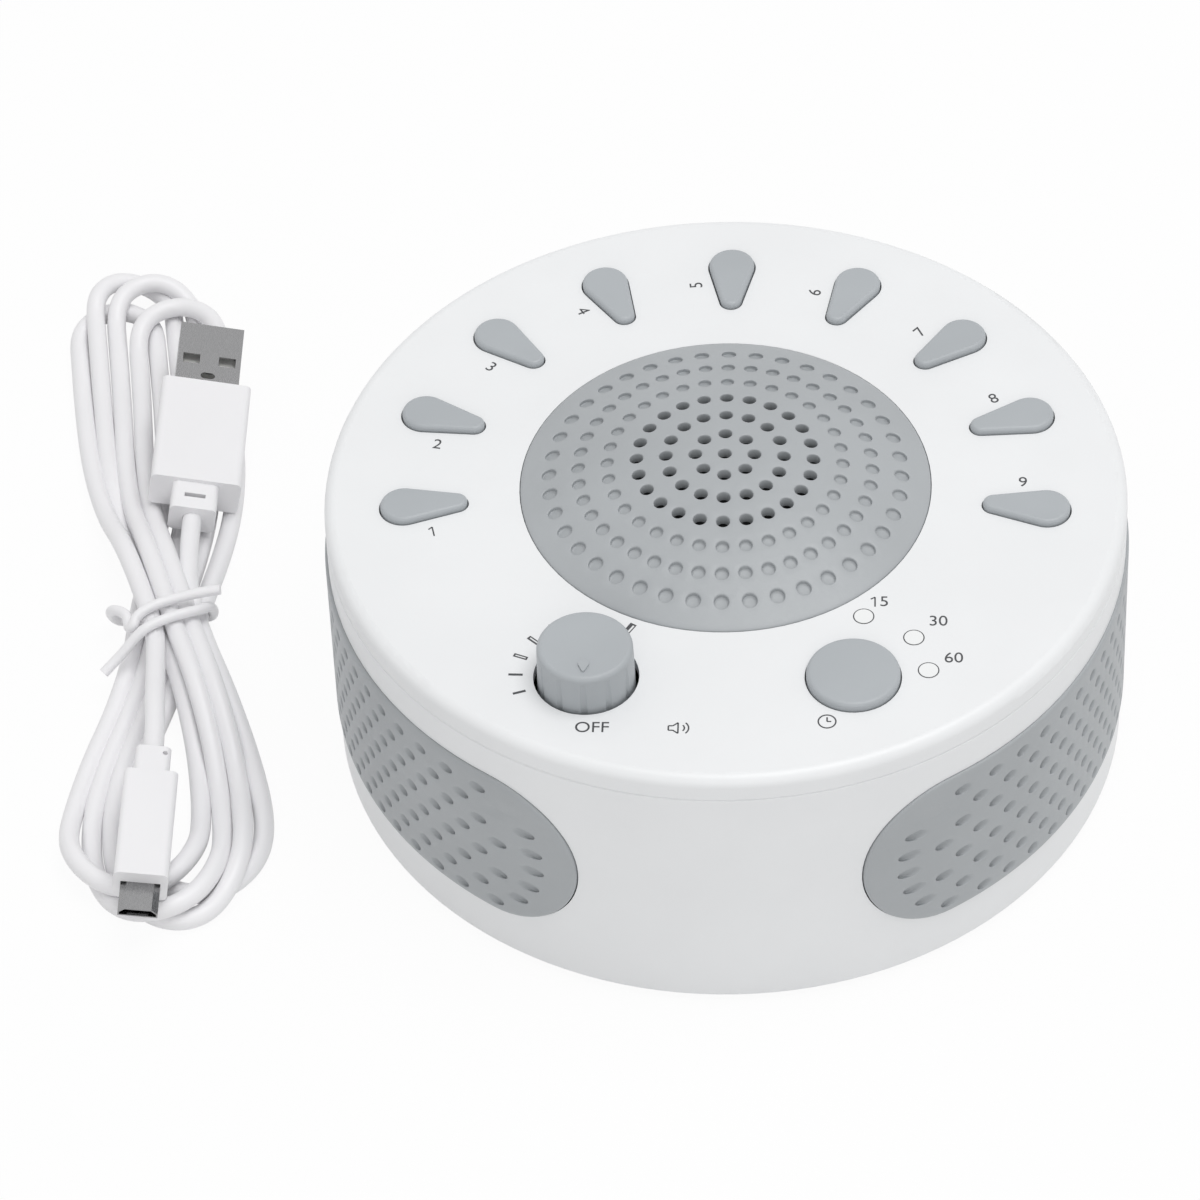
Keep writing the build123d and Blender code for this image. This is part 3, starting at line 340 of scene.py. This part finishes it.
def make_centre_grille():
    """Domed grille: rings of round holes cut straight down, open in the middle, blind outside."""
    holes = []
    for ring, (count, diameter) in enumerate(HOLE_RINGS):
        for step in range(count):
            angle = 2 * math.pi * step / count
            centre = (ring * HOLE_PITCH * math.cos(angle), ring * HOLE_PITCH * math.sin(angle))
            holes.append((centre, diameter / 2 * MM, ring < OPEN_RINGS))
    rims = [(centre, radius + HOLE_ROUND) for centre, radius, _ in holes]
    flat_edge = DOME_BASE - DOME_EDGE
    filler = []
    rows = int(flat_edge / DOME_FILL)
    for row in range(1, rows + 1):
        radius = flat_edge * (row - 0.5) / rows
        count = max(6, int(2 * math.pi * radius / DOME_FILL))
        filler += [point for point in circle((0, 0), radius, count) if clear_of(point, rims, 0.35 * MM)]
    outline = circle((0, 0), flat_edge, DOME_STEPS)
    loops = [circle(c, r, HOLE_STEPS) for c, r in rims]
    flat, faces, edge, hole_edges = pierced_sheet(outline, loops, filler)
    shell = Shell()
    shell.ring([dome_skin(point) for point in flat])
    shell.faces += [tuple(face) for face in faces]
    under_holes = []
    for (centre, radius, is_open), rim in zip(holes, hole_edges):
        depth = DOME_WALL if is_open else DIMPLE_DEPTH
        soft_hole(shell, rim, centre, radius, depth, dome_skin, is_open)
        if is_open:
            under_holes.append((centre, radius))
    previous = edge
    for inward, drop in ((0.12, 0.03), (0.05, 0.12), (0.0, 0.32)):
        rim = circle((0, 0), DOME_BASE - inward * MM, DOME_STEPS)
        ring = shell.ring([(x, y, DOME_RIM_Z - drop * MM) for x, y in rim])
        shell.band(previous, ring)
        previous = ring
    inner, outer = DOME_BASE - DOME_WALL, DOME_BASE + DOME_FLANGE
    skirt = ((DOME_BASE, DOME_SKIRT_Z), (outer, DOME_SKIRT_Z), (outer, grille_low_z), (inner, grille_low_z))
    for radius, z in skirt:
        ring = shell.ring([(x, y, z) for x, y in circle((0, 0), radius, DOME_STEPS)])
        shell.band(previous, ring)
        previous = ring
    outline = circle((0, 0), inner, DOME_STEPS)
    loops = [circle(c, r, HOLE_STEPS) for c, r in under_holes]
    filler = [point for point in filler
              if math.hypot(*point) < inner - 1.0 * MM and clear_of(point, under_holes, 0.5 * MM)]
    flat, faces, edge, hole_edges = pierced_sheet(outline, loops, filler)
    start = len(shell.points)
    shell.ring([dome_skin(point, DOME_WALL) for point in flat])
    shell.faces += [tuple(start + i for i in reversed(face)) for face in faces]
    shell.band(previous, [start + i for i in edge])
    grille = add_piece("perforated_dome", shell.points, shell.faces, "grey_grille")
    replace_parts(grille, "centre_grille")


# ----------------------------------------------------------------------- side grilles
SIDE_TAPER = 0.7 / 53.5       # the wall's lean
SIDE_PROUD = 0.5 * MM
SIDE_HALF = 16.53 * MM        # half height of the oval panel
SIDE_MIDDLE_Z = 27.3 * MM
SIDE_END = math.radians(56.24)    # where the oval's round ends begin, from the machine's side
SIDE_EDGE = 0.45 * MM
SIDE_DIMPLE = 1.0 * MM        # radius
SIDE_DEPTH = 1.5 * MM
SIDE_HOLE_STEPS = 20
SIDE_FILL_ROWS, SIDE_FILL_STEPS = 16, 86    # the grid of points between the dimples
DIMPLE_PITCH = 4.377 * MM
ROW_PITCH = 3.86 * MM
FIRST_ROW_Z = 39.8 * MM
ROW_COUNT = 8
# last dimples of each end, along the oval's round edge: from the middle plane, and height
END_DIMPLES = ((60.3, 37.6), (61.8, 33.6), (62.4, 29.2), (62.5, 24.9), (62.1, 20.5), (61.1, 16.4),
               (58.6, 13.1), (54.2, 12.7))


def side_radius(z):
    return base_radius - SIDE_TAPER * (z - bottom_edge) + SIDE_PROUD


def side_outline(inset):
    """The oval's edge as (angle, height) pairs, drawn in by an inset."""
    half = SIDE_HALF - inset
    points = []
    run = 64
    for i in range(run):
        points.append((-SIDE_END + 2 * SIDE_END * i / run, SIDE_MIDDLE_Z - half))
    points += side_end(1, half)
    for i in range(run):
        points.append((SIDE_END - 2 * SIDE_END * i / run, SIDE_MIDDLE_Z + half))
    points += side_end(-1, half)
    return points


def side_end(way, half):
    """A round end of the oval, cut straight in towards the machine's axis."""
    steps = 32
    points = []
    for i in range(steps):
        turn = math.pi * i / steps
        out = math.asin(half * math.sin(turn) / base_radius)
        points.append((way * (SIDE_END + out), SIDE_MIDDLE_Z - way * half * math.cos(turn)))
    return points


def side_dimples():
    """Dimple centres as (y, z): eight staggered rows and a curved column at each end."""
    places = []
    for row in range(ROW_COUNT):
        z = FIRST_ROW_Z - row * ROW_PITCH
        shift = 0.5 if row % 2 else 0.0
        last = 13 if row < ROW_COUNT - 1 else 11
        for step in range(-14, 15):
            y = (step + shift) * DIMPLE_PITCH
            if abs(step + shift) <= last + shift:
                places.append((y, z))
    for y, z in END_DIMPLES:
        places += [(y * MM, z * MM), (-y * MM, z * MM)]
    return places


def make_side_grille(name, side):
    """Oval panel wrapped round the wall, its dimples all sunk straight along X."""

    def lift(point, depth=0.0):
        y, z = point
        return (side * (math.sqrt(side_radius(z) ** 2 - y * y) - depth), y, z)

    def wrap(angle, z, drop):
        radius = side_radius(z) - drop
        return (side * radius * math.cos(angle), radius * math.sin(angle), z)

    def flat_of(points):
        return [(side_radius(z) * math.sin(angle), z) for angle, z in points]

    rims = [(centre, SIDE_DIMPLE + HOLE_ROUND) for centre in side_dimples()]
    outline = side_outline(SIDE_EDGE)
    filler = []
    for row in range(1, SIDE_FILL_ROWS + 1):
        z = SIDE_MIDDLE_Z + SIDE_HALF * (row / (SIDE_FILL_ROWS + 1) * 2 - 1)
        reach = SIDE_END + math.asin(math.sqrt(SIDE_HALF ** 2 - (z - SIDE_MIDDLE_Z) ** 2) / base_radius)
        reach -= (SIDE_EDGE + 1.0 * MM) / base_radius
        for step in range(SIDE_FILL_STEPS):
            angle = reach * (2 * (step + (row % 2) / 2) / SIDE_FILL_STEPS - 1)
            point = (side_radius(z) * math.sin(angle), z)
            if clear_of(point, rims, 0.3 * MM):
                filler.append(point)
    loops = [circle(c, r, SIDE_HOLE_STEPS) for c, r in rims]
    flat, faces, edge, hole_edges = pierced_sheet(flat_of(outline), loops, filler)
    shell = Shell()
    shell.ring([lift(point) for point in flat])
    shell.faces += [tuple(face) for face in faces]
    for (centre, _), rim in zip(rims, hole_edges):
        soft_hole(shell, rim, centre, SIDE_DIMPLE, SIDE_DEPTH, lift, False)
    previous = edge
    for inset, drop in ((0.18, 0.08), (0.05, 0.22), (0.0, 0.45), (0.0, 2.6)):
        ring = shell.ring([wrap(angle, z, drop * MM) for angle, z in side_outline(inset * MM)])
        shell.band(previous, ring)
        previous = ring
    return add_piece(name, shell.points, shell.faces, "grey_grille")


# ------------------------------------------------------------------------------- print
LABEL_RADIUS = 51.3 * MM
LABEL_TURN = math.radians(7.0)    # each number beside its key, anticlockwise of it
KEY_PITCH = math.radians(24.1)
DIGIT_SIZE = 3.3 * MM
PRINT_LINE = 0.26 * MM
PRINT_RISE = 0.02 * MM
SPEAKER_SIGN = (-6.5 * MM, -57.4 * MM)
CLOCK_SIGN = (17.9 * MM, -55.8 * MM)
OFF_MARK = (-20.8 * MM, -57.4 * MM)
MINUTES_ONE = (25.7 * MM, -28.3 * MM)
MINUTES = (("5", (27.35, -28.3)), ("30", (36.4, -32.8)), ("60", (38.9, -41.3)))    # the 1 of 15 is drawn
LAMP_RING = (1.66, 1.80)      # radii in millimetres
DIAL_FIRST, DIAL_SWEEP = 199, 141    # degrees, clockwise from the first mark
DIAL_MARKS = 8


def letter(name, words, x, y, size, turn=0.0):
    """Flat lettering centred on a point of the top face."""
    text = bpy.data.curves.new(name, "FONT")
    text.body = words
    text.size = size
    text.align_x = "CENTER"
    text.align_y = "CENTER"
    text.extrude = PRINT_RISE / 2
    text.materials.append(MATERIALS["print_grey"])
    mark = bpy.data.objects.new(name, text)
    mark.location = (x, y, top_z + PRINT_RISE)
    mark.rotation_euler = (0, 0, turn)
    bpy.context.scene.collection.objects.link(mark)
    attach(mark, "housing")


def make_labels():
    """A number beside each sound key, the minutes beside the timer lights and the knob's OFF."""
    ones = Shell()
    for number in range(9):
        angle = math.radians(90) + KEY_PITCH * (4 - number) + LABEL_TURN
        turn = angle if math.cos(angle) > -0.2 else angle - math.pi
        x, y = LABEL_RADIUS * math.cos(angle), LABEL_RADIUS * math.sin(angle)
        if number == 0:
            draw_one(ones, x, y, turn)
        else:
            letter("number_%d" % (number + 1), str(number + 1), x, y, DIGIT_SIZE, turn)
    draw_one(ones, *MINUTES_ONE)
    add_piece("number_one", ones.points, ones.faces, "print_grey")
    for digits, (x, y) in MINUTES:
        letter("minutes_%s" % digits, digits, x * MM, y * MM, DIGIT_SIZE)
    letter("off_mark", "OFF", *OFF_MARK, DIGIT_SIZE)


def stroke(shell, line, width, closed=False):
    """A line of even width on the top face through flat points."""
    count = len(line)
    for i in range(count if closed else count - 1):
        start, end = Vector((*line[i], 0)), Vector((*line[(i + 1) % count], 0))
        aside = (end - start).normalized().cross(Vector((0, 0, 1))) * width / 2
        level = Vector((0, 0, top_z + PRINT_RISE))
        corners = [start - aside, start + aside, end + aside, end - aside]
        shell.faces.append(tuple(shell.ring([corner + level for corner in corners])))


def draw_one(shell, x, y, turn=0.0):
    """The digit 1: a flag and a stem, as tall as the other digits."""
    flag = [(-0.62, 0.62), (0.1, 1.08), (0.1, -1.15)]
    stroke(shell, [(x + (a * math.cos(turn) - b * math.sin(turn)) * MM,
                    y + (a * math.sin(turn) + b * math.cos(turn)) * MM) for a, b in flag], PRINT_LINE)


def bow(centre, radius, first, last, steps):
    """Points of an arc between two angles in degrees."""
    x, y = centre
    angles = [math.radians(first + (last - first) * step / steps) for step in range(steps + 1)]
    return [(x + radius * math.cos(angle), y + radius * math.sin(angle)) for angle in angles]


def make_signs():
    """A plain loudspeaker by the volume knob and a plain clock face under the timer key."""
    shell = Shell()
    x, y = SPEAKER_SIGN
    horn = [(-1.7, -0.5), (-0.95, -0.5), (-0.1, -1.2), (-0.1, 1.2), (-0.95, 0.5), (-1.7, 0.5)]
    stroke(shell, [(x + a * MM, y + b * MM) for a, b in horn], PRINT_LINE, True)
    for radius in (0.85, 1.55):
        stroke(shell, bow((x + 0.1 * MM, y), radius * MM, -48, 48, 12), PRINT_LINE)
    x, y = CLOCK_SIGN
    stroke(shell, bow((x, y), 1.45 * MM, 0, 360, 40)[:-1], PRINT_LINE, True)
    stroke(shell, [(x, y + 0.95 * MM), (x, y), (x + 0.7 * MM, y)], PRINT_LINE)
    add_piece("control_signs", shell.points, shell.faces, "print_grey")


def make_dial_marks():
    """Eight marks round the knob, from a thin line to a bar with a slit at its clockwise side."""
    shell = Shell()
    for number in range(DIAL_MARKS):
        share = number / (DIAL_MARKS - 1)
        angle = math.radians(DIAL_FIRST - DIAL_SWEEP * share)
        along = Vector((math.cos(angle), math.sin(angle), 0))
        across = Vector((-along.y, along.x, 0))
        middle = Vector((knob_x, knob_y, top_z + PRINT_RISE)) + along * (11.6 + 1.3 * share) * MM

        def corners(reach, low, high):
            return [middle + along * a * MM + across * b * MM
                    for a, b in ((-reach, low), (reach, low), (reach, high), (-reach, high))]

        half = 0.3 + 0.3 * share
        if number < 2:
            shell.faces.append(tuple(shell.ring(corners(1.1 + 0.1 * number, -0.24, 0.24))))
        else:
            slit = -half + 0.28 - 0.08 * share
            shell.band(shell.ring(corners(1.25, -half, half)),
                       shell.ring(corners(0.93, slit, slit + 0.2 + 0.14 * share)))
    add_piece("dial_marks", shell.points, shell.faces, "print_grey")


def make_lamp_rings():
    """Thin printed circle round each timer light."""
    shell = Shell()
    for name in ("timer_lens_15", "timer_lens_30", "timer_lens_60"):
        low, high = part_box(name)
        x, y = (low.x + high.x) / 2, (low.y + high.y) / 2
        height = top_z + PRINT_RISE
        rings = [shell.ring([(a, b, height) for a, b in circle((x, y), radius * MM, 48)])
                 for radius in LAMP_RING]
        shell.band(*rings)
    add_piece("lamp_rings", shell.points, shell.faces, "print_grey")


# ------------------------------------------------------------------------- power cable
CORD = 3.6                    # all cable sizes are in millimetres until they are placed
HANK_X, HANK_Y = -106.0, 23.0
HANK_TURN = math.radians(9.4)
TIE_U, TIE_V = 1.0, -10.5     # where the wire tie holds the hank
FLOOR_LEVEL = CORD / 2
OVER = 3.65                   # rise of a strand that lies over another
BUNDLE_BOTTOM = 1.9 + CORD / 2    # the tie's wire passes under the bundle
USB_END = (8.4, 16.0, 9.2)    # where it leaves the USB-A plug, on the hank
EASE = 0.45                   # run before an upper fold's spring line, as a share of its rise

# strands that lie over the others at the tie, leftmost first: place across and height
OVER_STRANDS = ((-1.4, 10.1), (0.4, 7.2), (2.2, 10.1), (5.3, 9.3), (6.9, 7.1))

# turns of the hank, leftmost first: left side, right side, fold's spring line, fold's tip
UPPER_TURNS = ((-10.7, 4.2, 71.0, 80.0), (-7.0, 8.0, 76.9, 85.9),
               (-3.2, 12.2, 74.2, 83.4), (0.6, 16.4, 66.0, 75.5))
LOWER_TURNS = ((-19.2, 4.2, -57.0, -72.5), (-15.5, 7.9, -60.0, -78.0),
               (-11.8, 11.6, -60.0, -78.0), (-8.1, 15.3, -57.0, -72.5))
# how far each fold lies over the others, from its right side to its left
UPPER_LIFT = ((0, 0, 0, 0, 0, 0, 0, 0, 0), (0, 0, 0.05, 0.25, 0.55, 0.85, 1, 0.95, 0.6),
              (0, 0.2, 0.6, 0.88, 1, 1, 1, 0.75, 0.35), (0.5, 0.9, 1, 1, 1, 1, 1, 0.8, 0.3))
LOWER_LIFT = ((0.2, 0.8, 1, 1, 1, 1, 1, 0.9, 0.4), (0.3, 0.9, 1.1, 1.1, 1, 0.6, 0.1, 0, 0),
              (0.7, 1, 0.6, 0.1, 0, 0, 0, 0, 0), (0, 0, 0, 0, 0, 0, 0, 0, 0))
# rows of the route's points, along the hank from the tie
UPPER_ROWS = (6, 18, 31, 46, 62)
LOWER_ROWS = (-6, -17, -28, -39)


def smooth(t):
    t = max(0.0, min(1.0, t))
    return t * t * (3 - 2 * t)


def on_hank(point):
    """A point drawn with the hank along +V and its middle at the origin, in metres."""
    u, v, z = point
    x = HANK_X + u * math.cos(HANK_TURN) - v * math.sin(HANK_TURN)
    y = HANK_Y + u * math.sin(HANK_TURN) + v * math.cos(HANK_TURN)
    return Vector((x, y, z)) * MM


def flank(over, number, side, rows):
    """A strand between the tie and its side of a lobe; half of them cross over the others."""
    points = []
    for row in rows:
        share = smooth((abs(row) - 4) / (66.0 if row > 0 else 47.0))
        if over:
            across, level = OVER_STRANDS[number]
            lean = -0.16
            start, end = (18, 38) if level > 9 else (13, 32)
        else:
            across, level = TIE_U + (number - 1.5) * 3.66, BUNDLE_BOTTOM
            lean = 0.16 + 0.04 * number
            start, end = 6, 22
        u = (across + lean * row) * (1 - share) + side * share
        z = level + (FLOOR_LEVEL - level) * smooth((abs(row) - start) / (end - start))
        points.append((u, TIE_V + row, z))
    return points


def fold(turn, lift):
    """The round end of a turn, from its right side to its left."""
    left, right, spring, tip = turn
    steps = len(lift) - 1
    outward = 1 / math.cos(math.pi / steps / 2)
    points = []
    for step, share in enumerate(lift):
        angle = math.pi * step / steps
        swell = outward if 0 < step < steps else 1.0
        u = (left + right) / 2 + (right - left) / 2 * math.cos(angle) * swell
        v = spring + (tip - spring) * math.sin(angle) * outward
        points.append((u, v, FLOOR_LEVEL + OVER * share))
    if tip > 0:
        before = spring - (tip - spring) * EASE
        points.insert(0, (right, before, FLOOR_LEVEL + OVER * lift[0]))
        points.append((left, before, FLOOR_LEVEL + OVER * lift[-1]))
    return points


def cable_route():
    """From the USB-A plug through four figure-eight turns to the micro plug."""
    points = [USB_END, (7.2, 8.6, 8.7), (6.4, 2.0, 8.2), (6.0, -4.5, 7.4)]
    strand = 4
    for turn in (3, 2, 1, 0):
        points += flank(True, strand, LOWER_TURNS[turn][1], LOWER_ROWS)
        points += fold(LOWER_TURNS[turn], LOWER_LIFT[turn])
        points += flank(False, turn, LOWER_TURNS[turn][0], LOWER_ROWS[::-1])
        points += flank(False, turn, UPPER_TURNS[turn][1], UPPER_ROWS)
        points += fold(UPPER_TURNS[turn], UPPER_LIFT[turn])
        points += flank(True, turn, UPPER_TURNS[turn][0], UPPER_ROWS[::-1])
        strand = turn
    points += [(-0.5, -16.5, 10.1), (-0.9, -22.2, 10.0), (-1.3, -28.1, 10.4), (-1.7, -33.7, 11.0),
               (-1.9, -39.1, 11.5), (-2.5, -45.3, 11.65), (-3.2, -50.8, 11.6)]
    return [on_hank(point) for point in points]


def tube(name, route, thickness, fineness):
    """A round cord along a smooth line; the route's points are its control points."""
    curve = bpy.data.curves.new(name, "CURVE")
    curve.dimensions = "3D"
    curve.resolution_u = fineness
    curve.bevel_depth = thickness / 2 * MM
    curve.bevel_resolution = 6
    curve.use_fill_caps = True
    spline = curve.splines.new("NURBS")
    spline.points.add(len(route) - 1)
    for point, place in zip(spline.points, route):
        point.co = (*place, 1.0)
    spline.order_u = 3
    spline.use_endpoint_u = True
    curve.materials.append(MATERIALS["cable_white"])
    piece = bpy.data.objects.new(name, curve)
    bpy.context.scene.collection.objects.link(piece)
    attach(piece, "housing")
    return piece


# the tie's soft-coated wire: from its cut end over the bundle, hooked round itself at the
# knot, down the left side, under the bundle, up the right side and back over to its tail
TIE_WIRE = 1.9
TIE_ROUTE = (
    (11.9, -11.1, 14.1), (8.4, -10.8, 13.7), (4.7, -11.1, 13.3), (1.4, -11.6, 13.1), (-1.1, -12.5, 13.0),
    (-2.8, -13.3, 12.7), (-3.9, -14.2, 12.2), (-4.3, -15.3, 11.6), (-5.2, -14.9, 10.6), (-5.3, -13.3, 10.0),
    (-5.4, -11.0, 10.1), (-6.6, -9.3, 9.7), (-8.0, -7.9, 8.7), (-8.6, -6.3, 6.6), (-8.2, -4.6, 3.4),
    (-7.0, -3.6, 1.1), (-3.0, -3.4, 0.95), (2.0, -3.8, 0.95), (6.6, -4.4, 0.95), (9.6, -5.4, 1.5),
    (10.2, -7.0, 4.4), (9.9, -9.2, 7.9), (9.5, -11.6, 10.6), (8.2, -13.5, 12.0), (6.0, -14.5, 12.7),
    (3.2, -15.3, 13.0), (0.4, -16.3, 13.0), (-1.9, -17.2, 12.8), (-3.4, -17.7, 11.9), (-4.9, -18.3, 10.6),
    (-6.8, -19.2, 8.8), (-8.8, -20.1, 7.4), (-10.6, -21.3, 6.4))


def make_cable():
    """The tied power cable from plug to plug, and its wire tie."""
    cable = tube("power_cable", cable_route(), CORD, 10)
    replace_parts(cable, "cable_hank", "cable_lead_usb", "cable_lead_micro")
    tie = tube("twist_tie", [on_hank(point) for point in TIE_ROUTE], TIE_WIRE, 8)
    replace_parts(tie, "cable_tie")


# --------------------------------------------------------------------- floor and light
def make_floor():
    """A pale floor that keeps the shadow and is near white to the camera and in reflections."""
    material, tree, shader = shader_nodes("floor")
    output = tree.nodes["Material Output"]
    rays = tree.nodes.new("ShaderNodeLightPath")
    white = tree.nodes.new("ShaderNodeEmission")
    white.inputs["Color"].default_value = (1, 1, 1, 1)
    mix = tree.nodes.new("ShaderNodeMixShader")
    shader.inputs["Base Color"].default_value = (0.86, 0.86, 0.86, 1)
    shader.inputs["Roughness"].default_value = 0.9
    seen = tree.nodes.new("ShaderNodeMath")
    seen.operation = "ADD"
    tree.links.new(rays.outputs["Is Camera Ray"], seen.inputs[0])
    tree.links.new(rays.outputs["Is Glossy Ray"], seen.inputs[1])
    also = tree.nodes.new("ShaderNodeMath")
    also.operation = "ADD"
    also.use_clamp = True
    tree.links.new(seen.outputs[0], also.inputs[0])
    tree.links.new(rays.outputs["Is Transmission Ray"], also.inputs[1])
    share = tree.nodes.new("ShaderNodeMath")
    share.operation = "MULTIPLY"
    share.inputs[1].default_value = 0.94
    tree.links.new(also.outputs[0], share.inputs[0])
    tree.links.new(share.outputs[0], mix.inputs["Fac"])
    tree.links.new(shader.outputs[0], mix.inputs[1])
    tree.links.new(white.outputs[0], mix.inputs[2])
    tree.links.new(mix.outputs[0], output.inputs["Surface"])
    mesh = bpy.data.meshes.new("floor")
    half = 6.0
    corners = [(-half, -half, 0), (half, -half, 0), (half, half, 0), (-half, half, 0)]
    mesh.from_pydata(corners, [], [(0, 1, 2, 3)])
    mesh.materials.append(material)
    floor = bpy.data.objects.new("floor", mesh)
    bpy.context.scene.collection.objects.link(floor)


def make_world():
    """Even studio light that the camera and reflections see as white."""
    world = bpy.data.worlds.new("studio")
    world.use_nodes = True
    bpy.context.scene.world = world
    tree = world.node_tree
    backdrop = tree.nodes["Background"]
    backdrop.inputs["Color"].default_value = (1, 1, 1, 1)
    rays = tree.nodes.new("ShaderNodeLightPath")
    strength = tree.nodes.new("ShaderNodeMapRange")
    strength.inputs["To Min"].default_value = 0.56
    strength.inputs["To Max"].default_value = 1.0
    seen = tree.nodes.new("ShaderNodeMath")
    seen.operation = "MAXIMUM"
    also = tree.nodes.new("ShaderNodeMath")
    also.operation = "MAXIMUM"
    tree.links.new(rays.outputs["Is Camera Ray"], seen.inputs[0])
    tree.links.new(rays.outputs["Is Glossy Ray"], seen.inputs[1])
    tree.links.new(seen.outputs[0], also.inputs[0])
    tree.links.new(rays.outputs["Is Transmission Ray"], also.inputs[1])
    tree.links.new(also.outputs[0], strength.inputs["Value"])
    tree.links.new(strength.outputs["Result"], backdrop.inputs["Strength"])


def softbox(name, place, size, watts):
    """A square lamp that faces the machine."""
    lamp = bpy.data.lights.new(name, "AREA")
    lamp.shape = "SQUARE"
    lamp.size = size
    lamp.energy = watts
    holder = bpy.data.objects.new(name, lamp)
    holder.location = place
    holder.rotation_euler = (-Vector(place)).to_track_quat("-Z", "Y").to_euler()
    bpy.context.scene.collection.objects.link(holder)


bpy.context.scene.view_settings.view_transform = "Standard"
make_camera()
dress_nodes()
make_centre_grille()
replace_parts(make_side_grille("right_oval_panel", 1), "right_side_grille")
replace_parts(make_side_grille("left_oval_panel", -1), "left_side_grille")
make_labels()
make_signs()
make_dial_marks()
make_lamp_rings()
make_cable()
make_floor()
make_world()
softbox("key_light", (0.35, 0.0, 1.7), 1.1, 13.5)
softbox("fill_light", (0.0, -1.3, 0.8), 0.9, 2.2)
